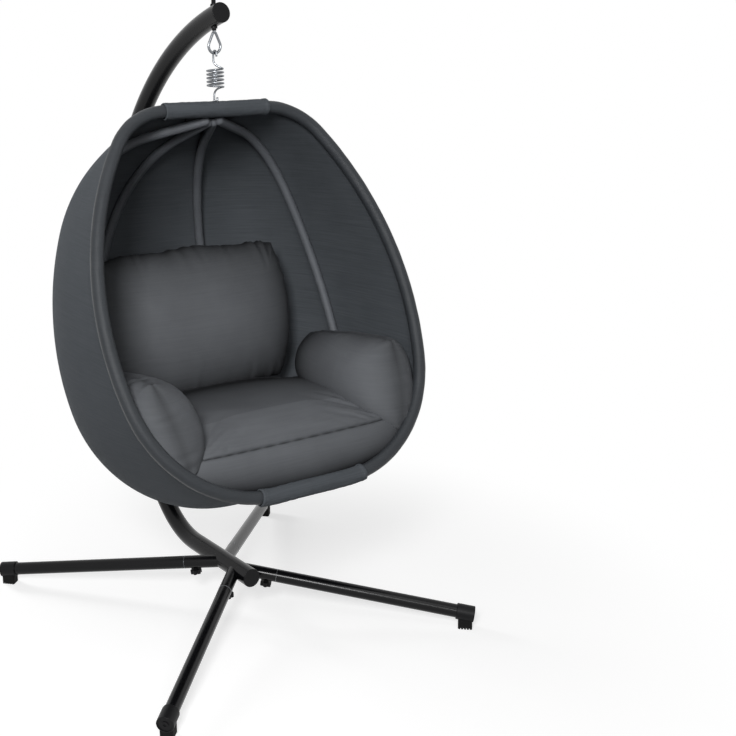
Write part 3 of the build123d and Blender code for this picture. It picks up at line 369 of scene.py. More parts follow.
bright = {"Metallic": 1.0}
steel = {"Metallic": 0.5, "Specular_IOR_Level": 0.3}
coat = {"Specular_IOR_Level": 0.2}
dull = {"Specular_IOR_Level": 0.15}
matt_cloth = {"Specular_IOR_Level": 0.08}
taut_cloth = {"Specular_IOR_Level": 0.2}
FINISH = {
    "black_powder_coat": finish_of(
        "satin_powder_coat", grain, {"Size": 900}, "09090b", "101012",
        rough=(0.2, 0.25), bump=0.0, distance=0.0002, **coat,
    ),
    "black_plastic": finish_of(
        "moulded_plastic", grain, {"Size": 1600}, "0b0b0c", "161618",
        rough=(0.38, 0.5), bump=0.2, distance=0.0003, **dull,
    ),
    "pad_rubber": finish_of(
        "pad_rubber", grain, {"Size": 700}, "0a0a0a", "151515",
        rough=(0.7, 0.85), bump=0.3, distance=0.0004, **dull,
    ),
    "zinc_plate": finish_of(
        "bright_zinc", grain, {"Size": 500}, "6e7175", "94979b",
        rough=(0.24, 0.32), bump=0.01, distance=0.0001, **bright,
    ),
    "black_fasteners": finish_of(
        "blackened_steel", grain, {"Size": 1200}, "0e0e10", "1a1a1c",
        rough=(0.3, 0.42), bump=0.1, distance=0.0003, **steel,
    ),
    "frame_tube": finish_of(
        "frame_powder_coat", grain, {"Size": 900}, "0b0b0c", "131314",
        rough=(0.4, 0.5), bump=0.12, distance=0.0004, **coat,
    ),
    "basket_fabric": finish_of(
        "bowl_oxford_cloth", weave, {"Slubs": 1.1, "Clouds": 0.5}, "474b4f", "5b5f64",
        rough=(0.62, 0.76), bump=0.35, distance=0.0004, **matt_cloth,
    ),
    # The cushions' cloth, with painted shade mixed in from its marks.
    "cushion_fabric": finish_of(
        "cushion_oxford_cloth", weave, {"Slubs": 0.45, "Clouds": 0.6}, "5f6165", "777a7e",
        rough=(0.56, 0.68), bump=0.3, distance=0.0004, seams=True, **matt_cloth,
    ),
    # A darker copy of the bowl's cloth: painted shade on the rim's cover.
    "shaded_rim_fabric": finish_of(
        "shaded_rim_oxford_cloth", weave, {"Slubs": 0.7, "Clouds": 0.6}, "303336", "3f4246",
        rough=(0.36, 0.46), bump=0.25, distance=0.0004, **taut_cloth,
    ),
    # A lighter copy of the bowl's cloth: painted highlight on the rib channels.
    "lit_channel_fabric": finish_of(
        "lit_channel_oxford_cloth", weave, {"Slubs": 0.6, "Clouds": 0.6}, "575a5f", "6d7075",
        rough=(0.4, 0.5), bump=0.25, distance=0.0004, **taut_cloth,
    ),
    "thread": finish_of(
        "seam_thread", weave, {"Slubs": 0.2, "Clouds": 0.4}, "5a5c60", "74767b",
        rough=(0.6, 0.7), bump=0.2, distance=0.0003, **matt_cloth,
    ),
}
print("finishes:", ", ".join(FINISH))

# %% Dressing the pieces
slot_of = {entry["node"]: entry["material_slot"] for entry in frame["record"]["subparts"]}
for name, piece in nodes.items():
    piece.data.materials.clear()
    piece.data.materials.append(FINISH[slot_of[name]])


def dress(piece, finish, slot, body, *stands_for):
    """Give a piece its finish, its body and the solids that it stands for."""
    piece.data.materials.clear()
    piece.data.materials.append(FINISH[finish])
    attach(piece, body)
    for node in stands_for:
        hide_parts(node)


print("solid pieces dressed:", len(slot_of))

# %% [markdown]
# The bowl is one stretched skin. A shaped sphere could stand for it, but its edge would not follow the
# rim, so it is a grid whose columns are meridians and whose rows run round the bowl, tucked under the
# rim's cover at both edges. Cloth pulled over ribs lies a little flatter between them, so the points there
# sink by a millimetre or so. Solidify then gives it a coated cloth's thickness.

# %% Bowl
BOWL_COLUMNS, BOWL_ROWS, TUCKED = 150, 150, 2
BOWL_INSET, BOWL_START, TUCK_STEP = 0.0015, 0.003, 0.005
BOWL_SINK, BOWL_UNEVEN, BOWL_WALL = 0.0015, 0.0012, 0.0022
SUPPORTS, SUPPORT_SPACING = (0.0, *RIB_ANGLES.values(), 180.0), 36
GIRTH_PLACE = 0.55
bowl_middle = RIM_TOP + DOWN * 0.6 + BACK * 0.25
bowl_lines = {}


def bowl_point(across, along):
    column = round(across * BOWL_COLUMNS)
    angle = min(max((column - TUCKED) / (BOWL_COLUMNS - 2 * TUCKED), 0), 1) * 180
    if column not in bowl_lines:
        bowl_lines[column] = meridian(angle, BOWL_INSET, BOWL_START, BOWL_ROWS + 1)
    down, out = bowl_lines[column][round(along * BOWL_ROWS)]
    under_rim = max(TUCKED - column, column - BOWL_COLUMNS + TUCKED, 0)
    point = in_basket(angle, down, out, SHELL_SETBACK - TUCK_STEP * under_rim)
    nearest = min(abs(angle - support) for support in SUPPORTS)
    between = math.sin(math.pi * min(nearest / SUPPORT_SPACING, 1))
    sink = BOWL_SINK * between * math.sin(math.pi * along) ** 0.5
    return point + (bowl_middle - point).normalized() * sink + BACK * ruffle(point, 5, BOWL_UNEVEN)


bowl = cloth_grid("bowl_cloth", BOWL_COLUMNS, BOWL_ROWS, bowl_point)
back_line = [bowl_point(0.5, row / BOWL_ROWS) for row in range(BOWL_ROWS + 1)]
girth_line = [bowl_point(column / BOWL_COLUMNS, GIRTH_PLACE) for column in range(BOWL_COLUMNS + 1)]
bowl_cut = [sum((q - p).length for p, q in zip(line, line[1:])) for line in (girth_line, back_line)]
tidy(bowl, 1e-6)
wall = bowl.modifiers.new("Wall", "SOLIDIFY")
wall.thickness = BOWL_WALL
wall.offset = 0
apply_modifier(bowl, "Wall")
dress(bowl, "basket_fabric", "basket_fabric", "basket", "fabric_shell")

# %% [markdown]
# The rim's cover is a cloth tube sewn shut along one side. A curve with a bevel would give a perfect pipe.
# A rolled grid also carries the seam, a low ridge along the inside of the tube, and the slight puckers of
# the cloth beside it. Each half of the hoop has its own tube.

# %% Rim cover
RIM_RADIUS, RIM_START, RIM_POINTS = 0.019, 0.078, 260
RIM_SEAM = math.pi * 0.28
RIDGE_HEIGHT, RIDGE_WIDTH = 0.0014, 0.16
PUCKER_HEIGHT, PUCKER_WIDTH, PUCKER_RATE = 0.00035, 0.6, 900
RIM_UNEVEN = 0.0005
hoop = meridian(0, 0, RIM_START, RIM_POINTS)
for angle, side, name in ((0, 1, "left"), (180, -1, "right")):
    path = [in_basket(angle, down, out, 0) for down, out in hoop]

    def rim_size(along, turn, side=side):
        aside = math.sin((turn - RIM_SEAM * side) / 2) * 2
        ridge = RIDGE_HEIGHT * math.exp(-((aside / RIDGE_WIDTH) ** 2))
        pucker = PUCKER_HEIGHT * math.sin(along * PUCKER_RATE) * math.exp(-((aside / PUCKER_WIDTH) ** 2))
        uneven = ruffle((along * 24, math.cos(turn), math.sin(turn) + side), 2, RIM_UNEVEN)
        return RIM_RADIUS + ridge + pucker + uneven

    rim = rolled(path, rim_size, 40, f"rim_wrap_{name}")
    dress(rim, "shaded_rim_fabric", "basket_fabric", "basket", f"rim_cover_{name}")
print("rim cover made of two sewn tubes")

# %% [markdown]
# Each rib runs in a sewn channel on the inside of the bowl. The channels come together under the top
# sleeve and hide the plate that the ribs are bolted to, and end behind the seat at the bottom. Each one is
# rolled as the rim's cover is, with closed, rounded ends and the same slight unevenness.

# %% Rib channels
CHANNEL_RADIUS, CHANNEL_START, CHANNEL_POINTS = 0.0142, 0.014, 240
CHANNEL_END, CHANNEL_ROUNDING, CHANNEL_UNEVEN = 0.09, 0.014, 0.0006
for name, angle in RIB_ANGLES.items():
    path = []
    for down, out in meridian(angle, RIB_INSET, CHANNEL_START, CHANNEL_POINTS):
        if out > CHANNEL_END or down < RIM_LENGTH / 2:
            path.append(in_basket(angle, down, out, SHELL_SETBACK))
    length = sum((b - a).length for a, b in zip(path, path[1:]))

    def rib_size(along, turn, name=name, length=length):
        from_end = min(along, 1 - along) * length
        rounding = math.sqrt(1 - (1 - min(from_end / CHANNEL_ROUNDING, 1)) ** 2)
        uneven = ruffle((along * 30, math.cos(turn), math.sin(turn) + len(name)), 2, CHANNEL_UNEVEN)
        return CHANNEL_RADIUS * rounding + uneven * rounding

    channel = rolled(path, rib_size, 28, f"rib_sleeve_{name}")
    dress(channel, "lit_channel_fabric", "basket_fabric", "basket", f"rib_channel_{name}")
print("rib channels:", len(RIB_ANGLES))

# %% [markdown]
# A wrap sleeve covers the joint of the rim at its top and at its bottom. Its ends are folded under and
# sewn, so each end has a thicker band, a groove where the thread pulls in, and a lip that turns inwards.
# These are part of the tube's own radius, so that each sleeve stays one piece of cloth.

# %% Wrap sleeves
SLEEVE_HALF, SLEEVE_RADIUS = 0.181, 0.0242
HEM, HEM_SEAM = 0.014, 0.002
LIP_HEIGHT, LIP_WIDTH = 0.0042, 0.0022
BAND_HEIGHT, BAND_STEP = 0.0013, 0.0016
GROOVE_DEPTH, GROOVE_WIDTH = 0.0011, 0.0011
CREASE_HEIGHT, SLEEVE_UNEVEN = 0.0005, 0.0008


def sleeve_points(bottom, count):
    """Even steps along the rim, over its middle at the top or at the bottom."""
    half = []
    for down, out in meridian(0, 0, 0.0, 1400):
        if out < 0.3 and ((down > RIM_LENGTH / 2) == bottom):
            half.append(in_basket(0, down, out, 0))
    half.sort(key=lambda p: p.x)
    line = [Vector((-p.x, p.y, p.z)) for p in reversed(half)] + half
    run = [0.0]
    for a, b in zip(line, line[1:]):
        run.append(run[-1] + (b - a).length)
    middle = run[-1] / 2
    points = []
    for i in range(count):
        s = middle + SLEEVE_HALF * (2 * i / (count - 1) - 1)
        k = max(j for j in range(len(run) - 1) if run[j] <= s)
        step = max(run[k + 1] - run[k], 1e-9)
        points.append(line[k].lerp(line[k + 1], (s - run[k]) / step))
    return points


def sleeve_size(along, turn):
    """A sleeve's radius, with its hems and creases."""
    from_end = min(along, 1 - along) * 2 * SLEEVE_HALF
    lip = LIP_HEIGHT * (1 - min(from_end / LIP_WIDTH, 1)) ** 2
    band = BAND_HEIGHT * (1 - min(max((from_end - HEM) / BAND_STEP, 0), 1))
    groove = GROOVE_DEPTH * math.exp(-(((from_end - HEM + HEM_SEAM) / GROOVE_WIDTH) ** 2))
    crease = CREASE_HEIGHT * math.sin(turn * 3 + along * 9)
    uneven = ruffle((along * 11, math.cos(turn) * 2, math.sin(turn) * 2), 2, SLEEVE_UNEVEN)
    return SLEEVE_RADIUS + band - groove - lip + crease + uneven


hem_lines = []
for name, bottom in (("top", False), ("bottom", True)):
    path = sleeve_points(bottom, 300)
    sleeve = rolled(path, sleeve_size, 56, f"wrap_sleeve_{name}")
    dress(sleeve, "basket_fabric", "basket_fabric", "basket", f"{name}_sleeve")
    for end, beside in ((0, 1), (-1, -2)):
        way = (path[beside] - path[end]).normalized()
        hem_lines.append((path[end] + way * (HEM - HEM_SEAM), way))
print("sleeves with", len(hem_lines), "hems")

# %% [markdown]
# The stitches of the hems are real thread. A bump in the finish would vanish when seen from the side, so
# a small rounded bar is modelled once and copied round each end.

# %% Hem stitches
STITCH_THICK, STITCH_LONG, STITCH_PROUD = 0.00045, 0.0017, 0.0004
STITCHES_ROUND = 34


def stitch_bars(name, stations):
    """One short thread bar for each (place, direction, outward)."""
    bpy.ops.object.select_all(action="DESELECT")
    bpy.ops.mesh.primitive_uv_sphere_add(segments=8, ring_count=5, radius=1)
    bar = bpy.context.object
    for point in bar.data.vertices:
        point.co = Vector((point.co.x * STITCH_THICK, point.co.y * STITCH_THICK, point.co.z * STITCH_LONG))
    shape = [point.co.copy() for point in bar.data.vertices]
    faces = [list(face.vertices) for face in bar.data.polygons]
    points, polygons = [], []
    for place, way, outward in stations:
        turn = Matrix((outward, way.cross(outward), way)).transposed()
        base = len(points)
        points += [place + turn @ co for co in shape]
        polygons += [[base + i for i in face] for face in faces]
    mesh = bpy.data.meshes.new(name)
    mesh.from_pydata(points, [], polygons)
    piece = bpy.data.objects.new(name, mesh)
    scene.collection.objects.link(piece)
    bpy.data.objects.remove(bar)
    only(piece)
    bpy.ops.object.shade_smooth()
    return piece


stations = []
for place, way in hem_lines:
    first = (BACK - way * BACK.dot(way)).normalized()
    other = way.cross(first)
    for i in range(STITCHES_ROUND):
        turn = 2 * math.pi * i / STITCHES_ROUND
        outward = first * math.cos(turn) + other * math.sin(turn)
        along = (other * math.cos(turn) - first * math.sin(turn)).normalized()
        stations.append((place + outward * (SLEEVE_RADIUS + STITCH_PROUD), along, outward))
stitches = stitch_bars("hem_stitches", stations)
dress(stitches, "thread", "basket_fabric", "basket")
print("hem stitches:", len(stations))

# %% [markdown]
# A cushion is two or more panels sewn at their edges and filled. It could be sculpted, but pressure rounds
# every cushion by the same rule: each is laid out a little slack, then Blender's cloth blows it up with
# its seams held, which draws the cloth towards them. How far a point may move is capped.


# %% Panels and filling
FILL_PRESSURE, FILL_FRAMES = 4.0, 20
SEWN_WITHIN = 0.002


def pillow(name, columns, rows, outline, front, rear):
    """Two panels on the same outline, sewn round their edge. front and rear give each panel's swell."""
    panels = []
    for panel, swell in (("front", front), ("rear", rear)):
        place = lambda u, v, swell=swell: outline(2 * u - 1, 2 * v - 1, swell)
        panels.append(cloth_grid(f"{name}_{panel}", columns, rows, place))
    bpy.ops.object.select_all(action="DESELECT")
    for panel in panels:
        panel.select_set(True)
    bpy.context.view_layer.objects.active = panels[0]
    bpy.ops.object.join()
    piece = bpy.context.object
    piece.name = piece.data.name = name
    tidy(piece)
    return piece


def edge_of(outline, steps):
    """The closed seam line of a two panel cushion."""
    line = [outline(-1 + 2 * i / steps, 1, 0) for i in range(steps)]
    line += [outline(1, 1 - 2 * i / steps, 0) for i in range(steps)]
    line += [outline(1 - 2 * i / steps, -1, 0) for i in range(steps)]
    return line + [outline(-1, -1 + 2 * i / steps, 0) for i in range(steps + 1)]


def line_tree(line):
    tree = kdtree.KDTree(len(line))
    for i, place in enumerate(line):
        tree.insert(place, i)
    tree.balance()
    return tree


def sewn_points(piece, line):
    """The points of a cushion that lie on its seam."""
    tree = line_tree(line)
    return [point.index for point in piece.data.vertices if tree.find(point.co)[2] < SEWN_WITHIN]


def fill_out(piece, held, cap):
    """Blow a closed cushion up with cloth pressure, holding some of its points."""
    before = [point.co.copy() for point in piece.data.vertices]
    group = piece.vertex_groups.new(name="held")
    group.add(held, 1.0, "REPLACE")
    cloth = piece.modifiers.new("Fill", "CLOTH")
    settings = cloth.settings
    settings.quality = 6
    settings.mass = 0.3
    settings.tension_stiffness = 12
    settings.compression_stiffness = 12
    settings.shear_stiffness = 4
    settings.bending_stiffness = 0.4
    settings.use_pressure = True
    settings.uniform_pressure_force = FILL_PRESSURE
    settings.effector_weights.gravity = 0
    settings.vertex_group_mass = "held"
    cloth.collision_settings.use_collision = False
    cloth.point_cache.frame_start = 1
    cloth.point_cache.frame_end = FILL_FRAMES
    for step in range(1, FILL_FRAMES + 1):
        scene.frame_set(step)
    apply_modifier(piece, "Fill")
    scene.frame_set(1)
    furthest = 0.0
    for point, start in zip(piece.data.vertices, before):
        shift = point.co - start
        furthest = max(furthest, shift.length)
        if shift.length > cap:
            point.co = start + shift * (cap / shift.length)
    return furthest


def refine(piece):
    """Round a filled cushion with one level of subdivision."""
    smooth = piece.modifiers.new("Fine", "SUBSURF")
    smooth.levels = smooth.render_levels = 1
    apply_modifier(piece, "Fine")
    only(piece)
    bpy.ops.object.shade_smooth()


print("cushions filled in", FILL_FRAMES, "steps")

# %% [markdown]
# A seam pulls the cloth in, and small gathers run away from it. Their folds are finer than the simulated
# grid, so they are pressed in along the normals. Shade is painted into the cloth's colour along a seam and
# where a cushion lies against another, so each point gets a mark that the finish reads.


# %% Seams and shading
LINE_REACH = 0.3
# How dark the painted shade is on a seam line itself, and how narrow.
SEAM_LINE_SHADE, SEAM_LINE_SHADE_SHARE = 0.85, 0.7


def paint_shade_near(piece, line, deep_shade, spread, sewn=0.0, width=1.0):
    """Mark painted shade at the points near a line: darkest on the line itself, and fading out round it."""
    if "seam" not in piece.data.attributes:
        piece.data.attributes.new("seam", "FLOAT", "POINT")
    marks = [0.0] * len(piece.data.vertices)
    piece.data.attributes["seam"].data.foreach_get("value", marks)
    tree = line_tree(line)
    for point in piece.data.vertices:
        distance = tree.find(point.co)[2]
        if distance > LINE_REACH:
            continue
        # A dark line painted on the seam: shade in its groove.
        thread = sewn * math.exp(-((distance / width) ** 2))
        marks[point.index] = max(marks[point.index], thread, deep_shade * math.exp(-distance / spread))
    piece.data.attributes["seam"].data.foreach_set("value", marks)


def gather(piece, line, groove, width, pucker, reach, pitch, seed):
    """Press a seam into a cushion, with small gathers running away from it."""
    run, total = [0.0], 0.0
    for a, b in zip(line, line[1:]):
        total += (b - a).length
        run.append(total)
    tree = line_tree(line)
    normals = [point.normal.copy() for point in piece.data.vertices]
    for point, normal in zip(piece.data.vertices, normals):
        _, i, distance = tree.find(point.co)
        if distance > LINE_REACH:
            continue
        s = run[i]
        on_seam = math.exp(-((distance / width) ** 2))
        local = 0.25 + 0.75 * abs(noise.noise(Vector((s * 9, seed, 0)))) * 1.6
        wave = math.sin(2 * math.pi * (s / pitch + 0.9 * noise.noise(Vector((s * 14, seed, 3)))))
        fold = pucker * local * wave * math.exp(-distance / reach) * (1 - on_seam)
        point.co += normal * (fold - groove * on_seam)


def sew(piece, line, deep_shade, spread, groove, width, pucker, reach, pitch, seed):
    """Paint shade along a seam and press it in."""
    paint_shade_near(piece, line, deep_shade, spread, sewn=SEAM_LINE_SHADE, width=SEAM_LINE_SHADE_SHARE * width)
    gather(piece, line, groove, width, pucker, reach, pitch, seed)


print("seams can be sewn")

# %% [markdown]
# The cushions lie loose in the bowl. Collision in the cloth simulation would be slow, so a point that
# would end in the bowl's wall or in a rib is moved in along its own level until it is clear.

# %% Bedding down
ROOM_STEP = 3
CLEARANCE, RIB_REACH, RIB_GAP = 0.006, 0.0165, 0.001
room = {angle: meridian(angle, 0.0, 0.0, 241) for angle in range(0, 91, ROOM_STEP)}


def bed_down(piece):
    """Flatten a cushion where it would go through the bowl or a rib."""
    pressed = 0
    for point in piece.data.vertices:
        rel = point.co - RIM_TOP - BACK * SHELL_SETBACK
        down, rear, side = rel.dot(DOWN), rel.dot(BACK), abs(rel.x)
        if rear < 0:
            continue
        out = math.hypot(rear, side)
        angle = math.degrees(math.atan2(rear, side))
        low = min(int(angle // ROOM_STEP) * ROOM_STEP, 90 - ROOM_STEP)
        limits = []
        for a in (low, low + ROOM_STEP):
            wide = 0.0
            for p, q in zip(room[a], room[a][1:]):
                if p[0] <= down <= q[0]:
                    share = (down - p[0]) / max(q[0] - p[0], 1e-9)
                    wide = max(wide, p[1] + (q[1] - p[1]) * share)
            limits.append(wide)
        limit = limits[0] + (limits[1] - limits[0]) * (angle - low) / ROOM_STEP - CLEARANCE
        for rib in (RIB_ANGLES["left_side"], RIB_ANGLES["left_back"]):
            beside = out * abs(math.sin(math.radians(angle - rib)))
            if beside < RIB_REACH:
                limit -= RIB_INSET + math.sqrt(max(RIB_REACH**2 - beside**2, 0)) - CLEARANCE + RIB_GAP
        if 0 < limit < out:
            point.co -= (BACK * rear + Vector((rel.x, 0, 0))) * (1 - limit / out)
            pressed += 1
    return pressed


print("room measured on", len(room), "meridians")

# %% [markdown]
# The back cushion is a plain pillow of two panels. Its sides draw in a little between the corners, and
# the cloth gathers along the seam, most of all at the top edge.

# %% Back cushion
BACK_LEAN = math.radians(7.1)
BACK_UP = Vector((0, math.sin(BACK_LEAN), math.cos(BACK_LEAN)))
BACK_FORWARD = Vector((0, -math.cos(BACK_LEAN), math.sin(BACK_LEAN)))
BACK_MIDDLE = Vector((0, 0.150, 0.698)) + BACK_UP * 0.236
BACK_HALF_WIDTH, BACK_HALF_HEIGHT = 0.378, 0.25


def back_outline(a, b, swell):
    """A point of a panel of the back cushion, from -1 to 1 across and up."""
    x = a * math.sqrt(1 - 0.24 * b * b) * (1 - 0.02 * (1 - b * b))
    z = b * math.sqrt(1 - 0.17 * a * a) * (1 - 0.02 * (1 - a * a))
    full = max((1 - abs(a) ** 2.5) * (1 - abs(b) ** 2.2), 0) ** 0.5
    wave = 0.004 * math.sin(a * 8 + 1) * max(b, 0) ** 2
    place = BACK_MIDDLE + Vector((BACK_HALF_WIDTH * x, 0, 0))
    return place + BACK_UP * (BACK_HALF_HEIGHT * z + wave) + BACK_FORWARD * (swell * full)


back_cushion = pillow("back_pillow", 96, 64, back_outline, 0.125, -0.12)
back_seam = edge_of(back_outline, 180)
moved = fill_out(back_cushion, sewn_points(back_cushion, back_seam), cap=0.024)
refine(back_cushion)
# Painted shade: a dark line on the seam, and shade that fades out over a broad band from the edges.
sew(
    back_cushion, back_seam, deep_shade=0.95, spread=0.13,
    groove=0.003, width=0.006, pucker=0.006, reach=0.045, pitch=0.06, seed=1.7,
)
pressed = bed_down(back_cushion)
dress(back_cushion, "cushion_fabric", "cushion_fabric", "basket", "back_cushion")
print("back cushion moved up to", round(moved * 1000), "mm, pressed points", pressed)

# %% [markdown]
# The seat is a box cushion. A crowned top panel is sewn to a band that goes round its front and sides,
# and the seam between them is the line that shows most on the chair. Two grids share one rounded
# outline: the upper one rises to the crown, the lower one drops at its edge as the band and then runs
# flat as the underside. Its rows crowd at the edge, so that the band has enough of them. The underside
# lies on the bowl, so it is held with the seam while the cushion is filled.

# %% Seat cushion
SEAT_HALF, SEAT_HALF_DEPTH = 0.388, 0.291
SEAT_FRONT = RIM_BOTTOM.y + 0.062
SEAT_MIDDLE = SEAT_FRONT + SEAT_HALF_DEPTH
SEAT_SEAM = RIM_BOTTOM.z + 0.125
SEAT_DEPTH, SEAT_LYING = 0.121, 0.08
CORNER_POWER, CROWDING = 7, 1.35
BAND_SHARE, UNDERSIDE_SHARE = 0.18, 0.82
BOWL_FLAT, BOWL_BEND = 0.1205, BOTTOM_RADIUS[0]


def crowd(value):
    """Move grid lines towards the edge of a panel."""
    return math.copysign(1 - (1 - abs(value)) ** CROWDING, value)


def seat_plan(a, b):
    """Draw the corners of the unit square in to rounded ones."""
    corner = max(abs(a) ** CORNER_POWER + abs(b) ** CORNER_POWER, 1e-12) ** (1 / CORNER_POWER)
    draw = max(abs(a), abs(b)) / corner
    return SEAT_HALF * a * draw, SEAT_MIDDLE + SEAT_HALF_DEPTH * b * draw


def seat_outline(u, v, swell):
    """A point of the top panel, or with a swell below 0 of the band and the underside."""
    a, b = crowd(u), crowd(v)
    if swell >= 0:
        x, y = seat_plan(a, b)
        crown = max((1 - abs(a) ** 3.4) * (1 - abs(b) ** 2.8), 0) ** 0.5
        return Vector((x, y - 0.01 * crown, SEAT_SEAM + swell * crown))
    ring = max(abs(a), abs(b), 1e-9)
    band = min((1 - ring) / BAND_SHARE, 1)
    a, b = (value * min(ring / UNDERSIDE_SHARE, 1) / ring for value in (a, b))
    x, y = seat_plan(a, b)
    climb = BOWL_BEND - math.sqrt(BOWL_BEND**2 - max(abs(x) - BOWL_FLAT, 0) ** 2)
    under = min(max((b + 1) / 1.1, 0), 1)
    depth = SEAT_DEPTH - 0.45 * climb * (1 - under) + 0.075 * under * under * (3 - 2 * under)
    bulge = math.sin(math.pi * band) ** 0.8 if 0 < band < 1 else 0
    forward = (0.016 * bulge + 0.032 * band) * max(-b, 0) ** 6
    outward = 0.014 * bulge * math.copysign(abs(a) ** 6, a)
    return Vector((x + outward, y - forward, SEAT_SEAM - depth * band))


seat = pillow("seat_pad", 110, 100, seat_outline, 0.05, -1)
seat_seam = edge_of(seat_outline, 200)
lying = [point.index for point in seat.data.vertices if point.co.z < SEAT_SEAM - SEAT_LYING]
moved = fill_out(seat, sewn_points(seat, seat_seam) + lying, cap=0.014)
refine(seat)
# Painted shade: a dark line on the seam and a little round it.
sew(
    seat, seat_seam, deep_shade=0.2, spread=0.04,
    groove=0.0065, width=0.0048, pucker=0.0016, reach=0.035, pitch=0.085, seed=4.1,
)
# Painted shade at the back of the seat, where the back cushion lies on it.
pillow_shade_line = [Vector((x / 100, 0.03, SEAT_SEAM + 0.045)) for x in range(-36, 37)]
paint_shade_near(seat, pillow_shade_line, deep_shade=1.0, spread=0.18)
# Painted shade along the foot of the band at the front, where the seat meets the bowl.
band_foot_shade_line = []
for x in range(-34, 35):
    band_foot_shade_line.append(Vector((x / 100, SEAT_FRONT - 0.034, SEAT_SEAM - SEAT_DEPTH + 0.000035 * x * x)))
paint_shade_near(seat, band_foot_shade_line, deep_shade=0.95, spread=0.045)
pressed = bed_down(seat)
dress(seat, "cushion_fabric", "cushion_fabric", "basket", "seat_cushion")
print("seat moved up to", round(moved * 1000), "mm, pressed points", pressed)

# %% [markdown]
# Each arm cushion stands on edge along the bowl's side: an inner and an outer panel with a seam that runs
# over the crest and down the front end. Its plane leans with the bowl and its front end follows the slope of
# the rim. Shade is painted into its colour where it is tucked in between the seat and the back.

# %% Arm cushions
ARM_MIDDLE, ARM_HALF_HEIGHT, ARM_REAR = 0.772, 0.116, 0.135
ARM_FRONT_GAP = 0.02
ARM_SIDE, ARM_LEAN, ARM_LEAN_FROM = 0.4, 0.2, 0.8


def arm_outline(side):
    """The outline of the left (1) or right (-1) arm cushion."""

    def place(a, b, swell):
        along = a * math.sqrt(1 - 0.17 * b * b)
        up = b * math.sqrt(1 - 0.17 * a * a)
        z = ARM_MIDDLE - 0.005 * along + (ARM_HALF_HEIGHT - 0.027 * along) * up
        back_share = (along + 1) / 2
        front = -(RIM_TOP.z - z) * math.tan(TILT) - ARM_FRONT_GAP
        y = front + (ARM_REAR - front) * back_share
        x = ARM_SIDE + (z - ARM_LEAN_FROM) * ARM_LEAN + 0.03 * back_share**2
        full = max((1 - abs(a) ** 5) * (1 - abs(b) ** (2.6 if b > 0 else 1.9)), 0) ** 0.5
        slim = 1 - 0.3 * back_share**2 if swell > 0 else 1
        return Vector((side * (x - swell * full * slim), y, z))

    return place


for side, name in ((1, "left"), (-1, "right")):
    outline = arm_outline(side)
    arm = pillow(f"arm_pad_{name}", 88, 48, outline, 0.13, -0.1)
    loop = edge_of(outline, 160)
    moved = fill_out(arm, sewn_points(arm, loop), cap=0.02)
    refine(arm)
    # Painted shade: a dark line on the seam, fading out round it.
    sew(
        arm, loop, deep_shade=0.5, spread=0.07,
        groove=0.0055, width=0.005, pucker=0.0045, reach=0.03, pitch=0.05, seed=7.3 + side,
    )
    # Painted shade where the arm is tucked in between the seat and the back.
    tucked = []
    for step in range(6):
        for rise in range(6):
            tucked.append(Vector((side * (0.3 + 0.02 * step), 0.09, 0.68 + 0.03 * rise)))
    paint_shade_near(arm, tucked, deep_shade=1.0, spread=0.13)
    pressed = bed_down(arm)
    dress(arm, "cushion_fabric", "cushion_fabric", "basket", f"arm_cushion_{name}")
    print("arm", name, "moved up to", round(moved * 1000), "mm, pressed points", pressed)

# %% [markdown]
# The spring is one bright wire: a hook over the eye, a leg that bends out to the coil, five open turns,
# and a leg back to the middle with a hook for the link. The Screw modifier would make the turns but not
# the hooks, so a curve with a round bevel draws the whole wire. Its lower part follows the basket as it
# stretches, so it is blended between the two bodies.

# %% Hanging spring
HOOK_TOP, HOOK_LOW, HOOK_RADIUS, HOOK_STEPS = 1.776964, 1.642464, 0.009, 24
COIL_TOP, COIL_LOW, COIL_RADIUS, COIL_RISE = 1.732464, 1.679464, 0.024, 0.0106
COIL_TURNS, COIL_STEPS = 5, 48
HOOK_TIP, LEG_LENGTH, LEG_BEND, BEND_STEPS = 0.008, 0.026, 0.55, 18
WIRE_RADIUS = 0.003


def bridge(start, start_way, end, end_way, count):
    """A smooth bend from a straight leg to the coil."""
    size = (end - start).length * LEG_BEND
    b, c = start + start_way * size, end - end_way * size
    points = []
    for i in range(1, count):
        t = i / count
        points.append(start * (1 - t) ** 3 + b * 3 * t * (1 - t) ** 2 + c * 3 * t * t * (1 - t) + end * t**3)
    return points


drop = Vector((0, 0, -1))
coil = []
for i in range(COIL_TURNS * COIL_STEPS + 1):
    turn = 2 * math.pi * i / COIL_STEPS
    level = COIL_TOP - COIL_RISE * i / COIL_STEPS
    coil.append(Vector((COIL_RADIUS * math.cos(turn), COIL_RADIUS * math.sin(turn), level)))
wire = [Vector((0, -HOOK_RADIUS, HOOK_TOP - HOOK_TIP + 0.004 * i)) for i in range(3)]
for i in range(1, HOOK_STEPS + 1):
    turn = math.pi * i / HOOK_STEPS
    wire.append(Vector((0, -HOOK_RADIUS * math.cos(turn), HOOK_TOP + HOOK_RADIUS * math.sin(turn))))
wire += [Vector((0, HOOK_RADIUS, HOOK_TOP - 0.0045 * i)) for i in range(1, 4)]
wire.append(Vector((0, HOOK_RADIUS, COIL_TOP + LEG_LENGTH)))
wire += bridge(wire[-1], drop, coil[0], (coil[1] - coil[0]).normalized(), BEND_STEPS) + coil
low_leg = Vector((0, HOOK_RADIUS, COIL_LOW - LEG_LENGTH))
wire += bridge(coil[-1], (coil[-1] - coil[-2]).normalized(), low_leg, drop, BEND_STEPS) + [low_leg]
wire.append(Vector((0, HOOK_RADIUS, HOOK_LOW + 0.0055)))
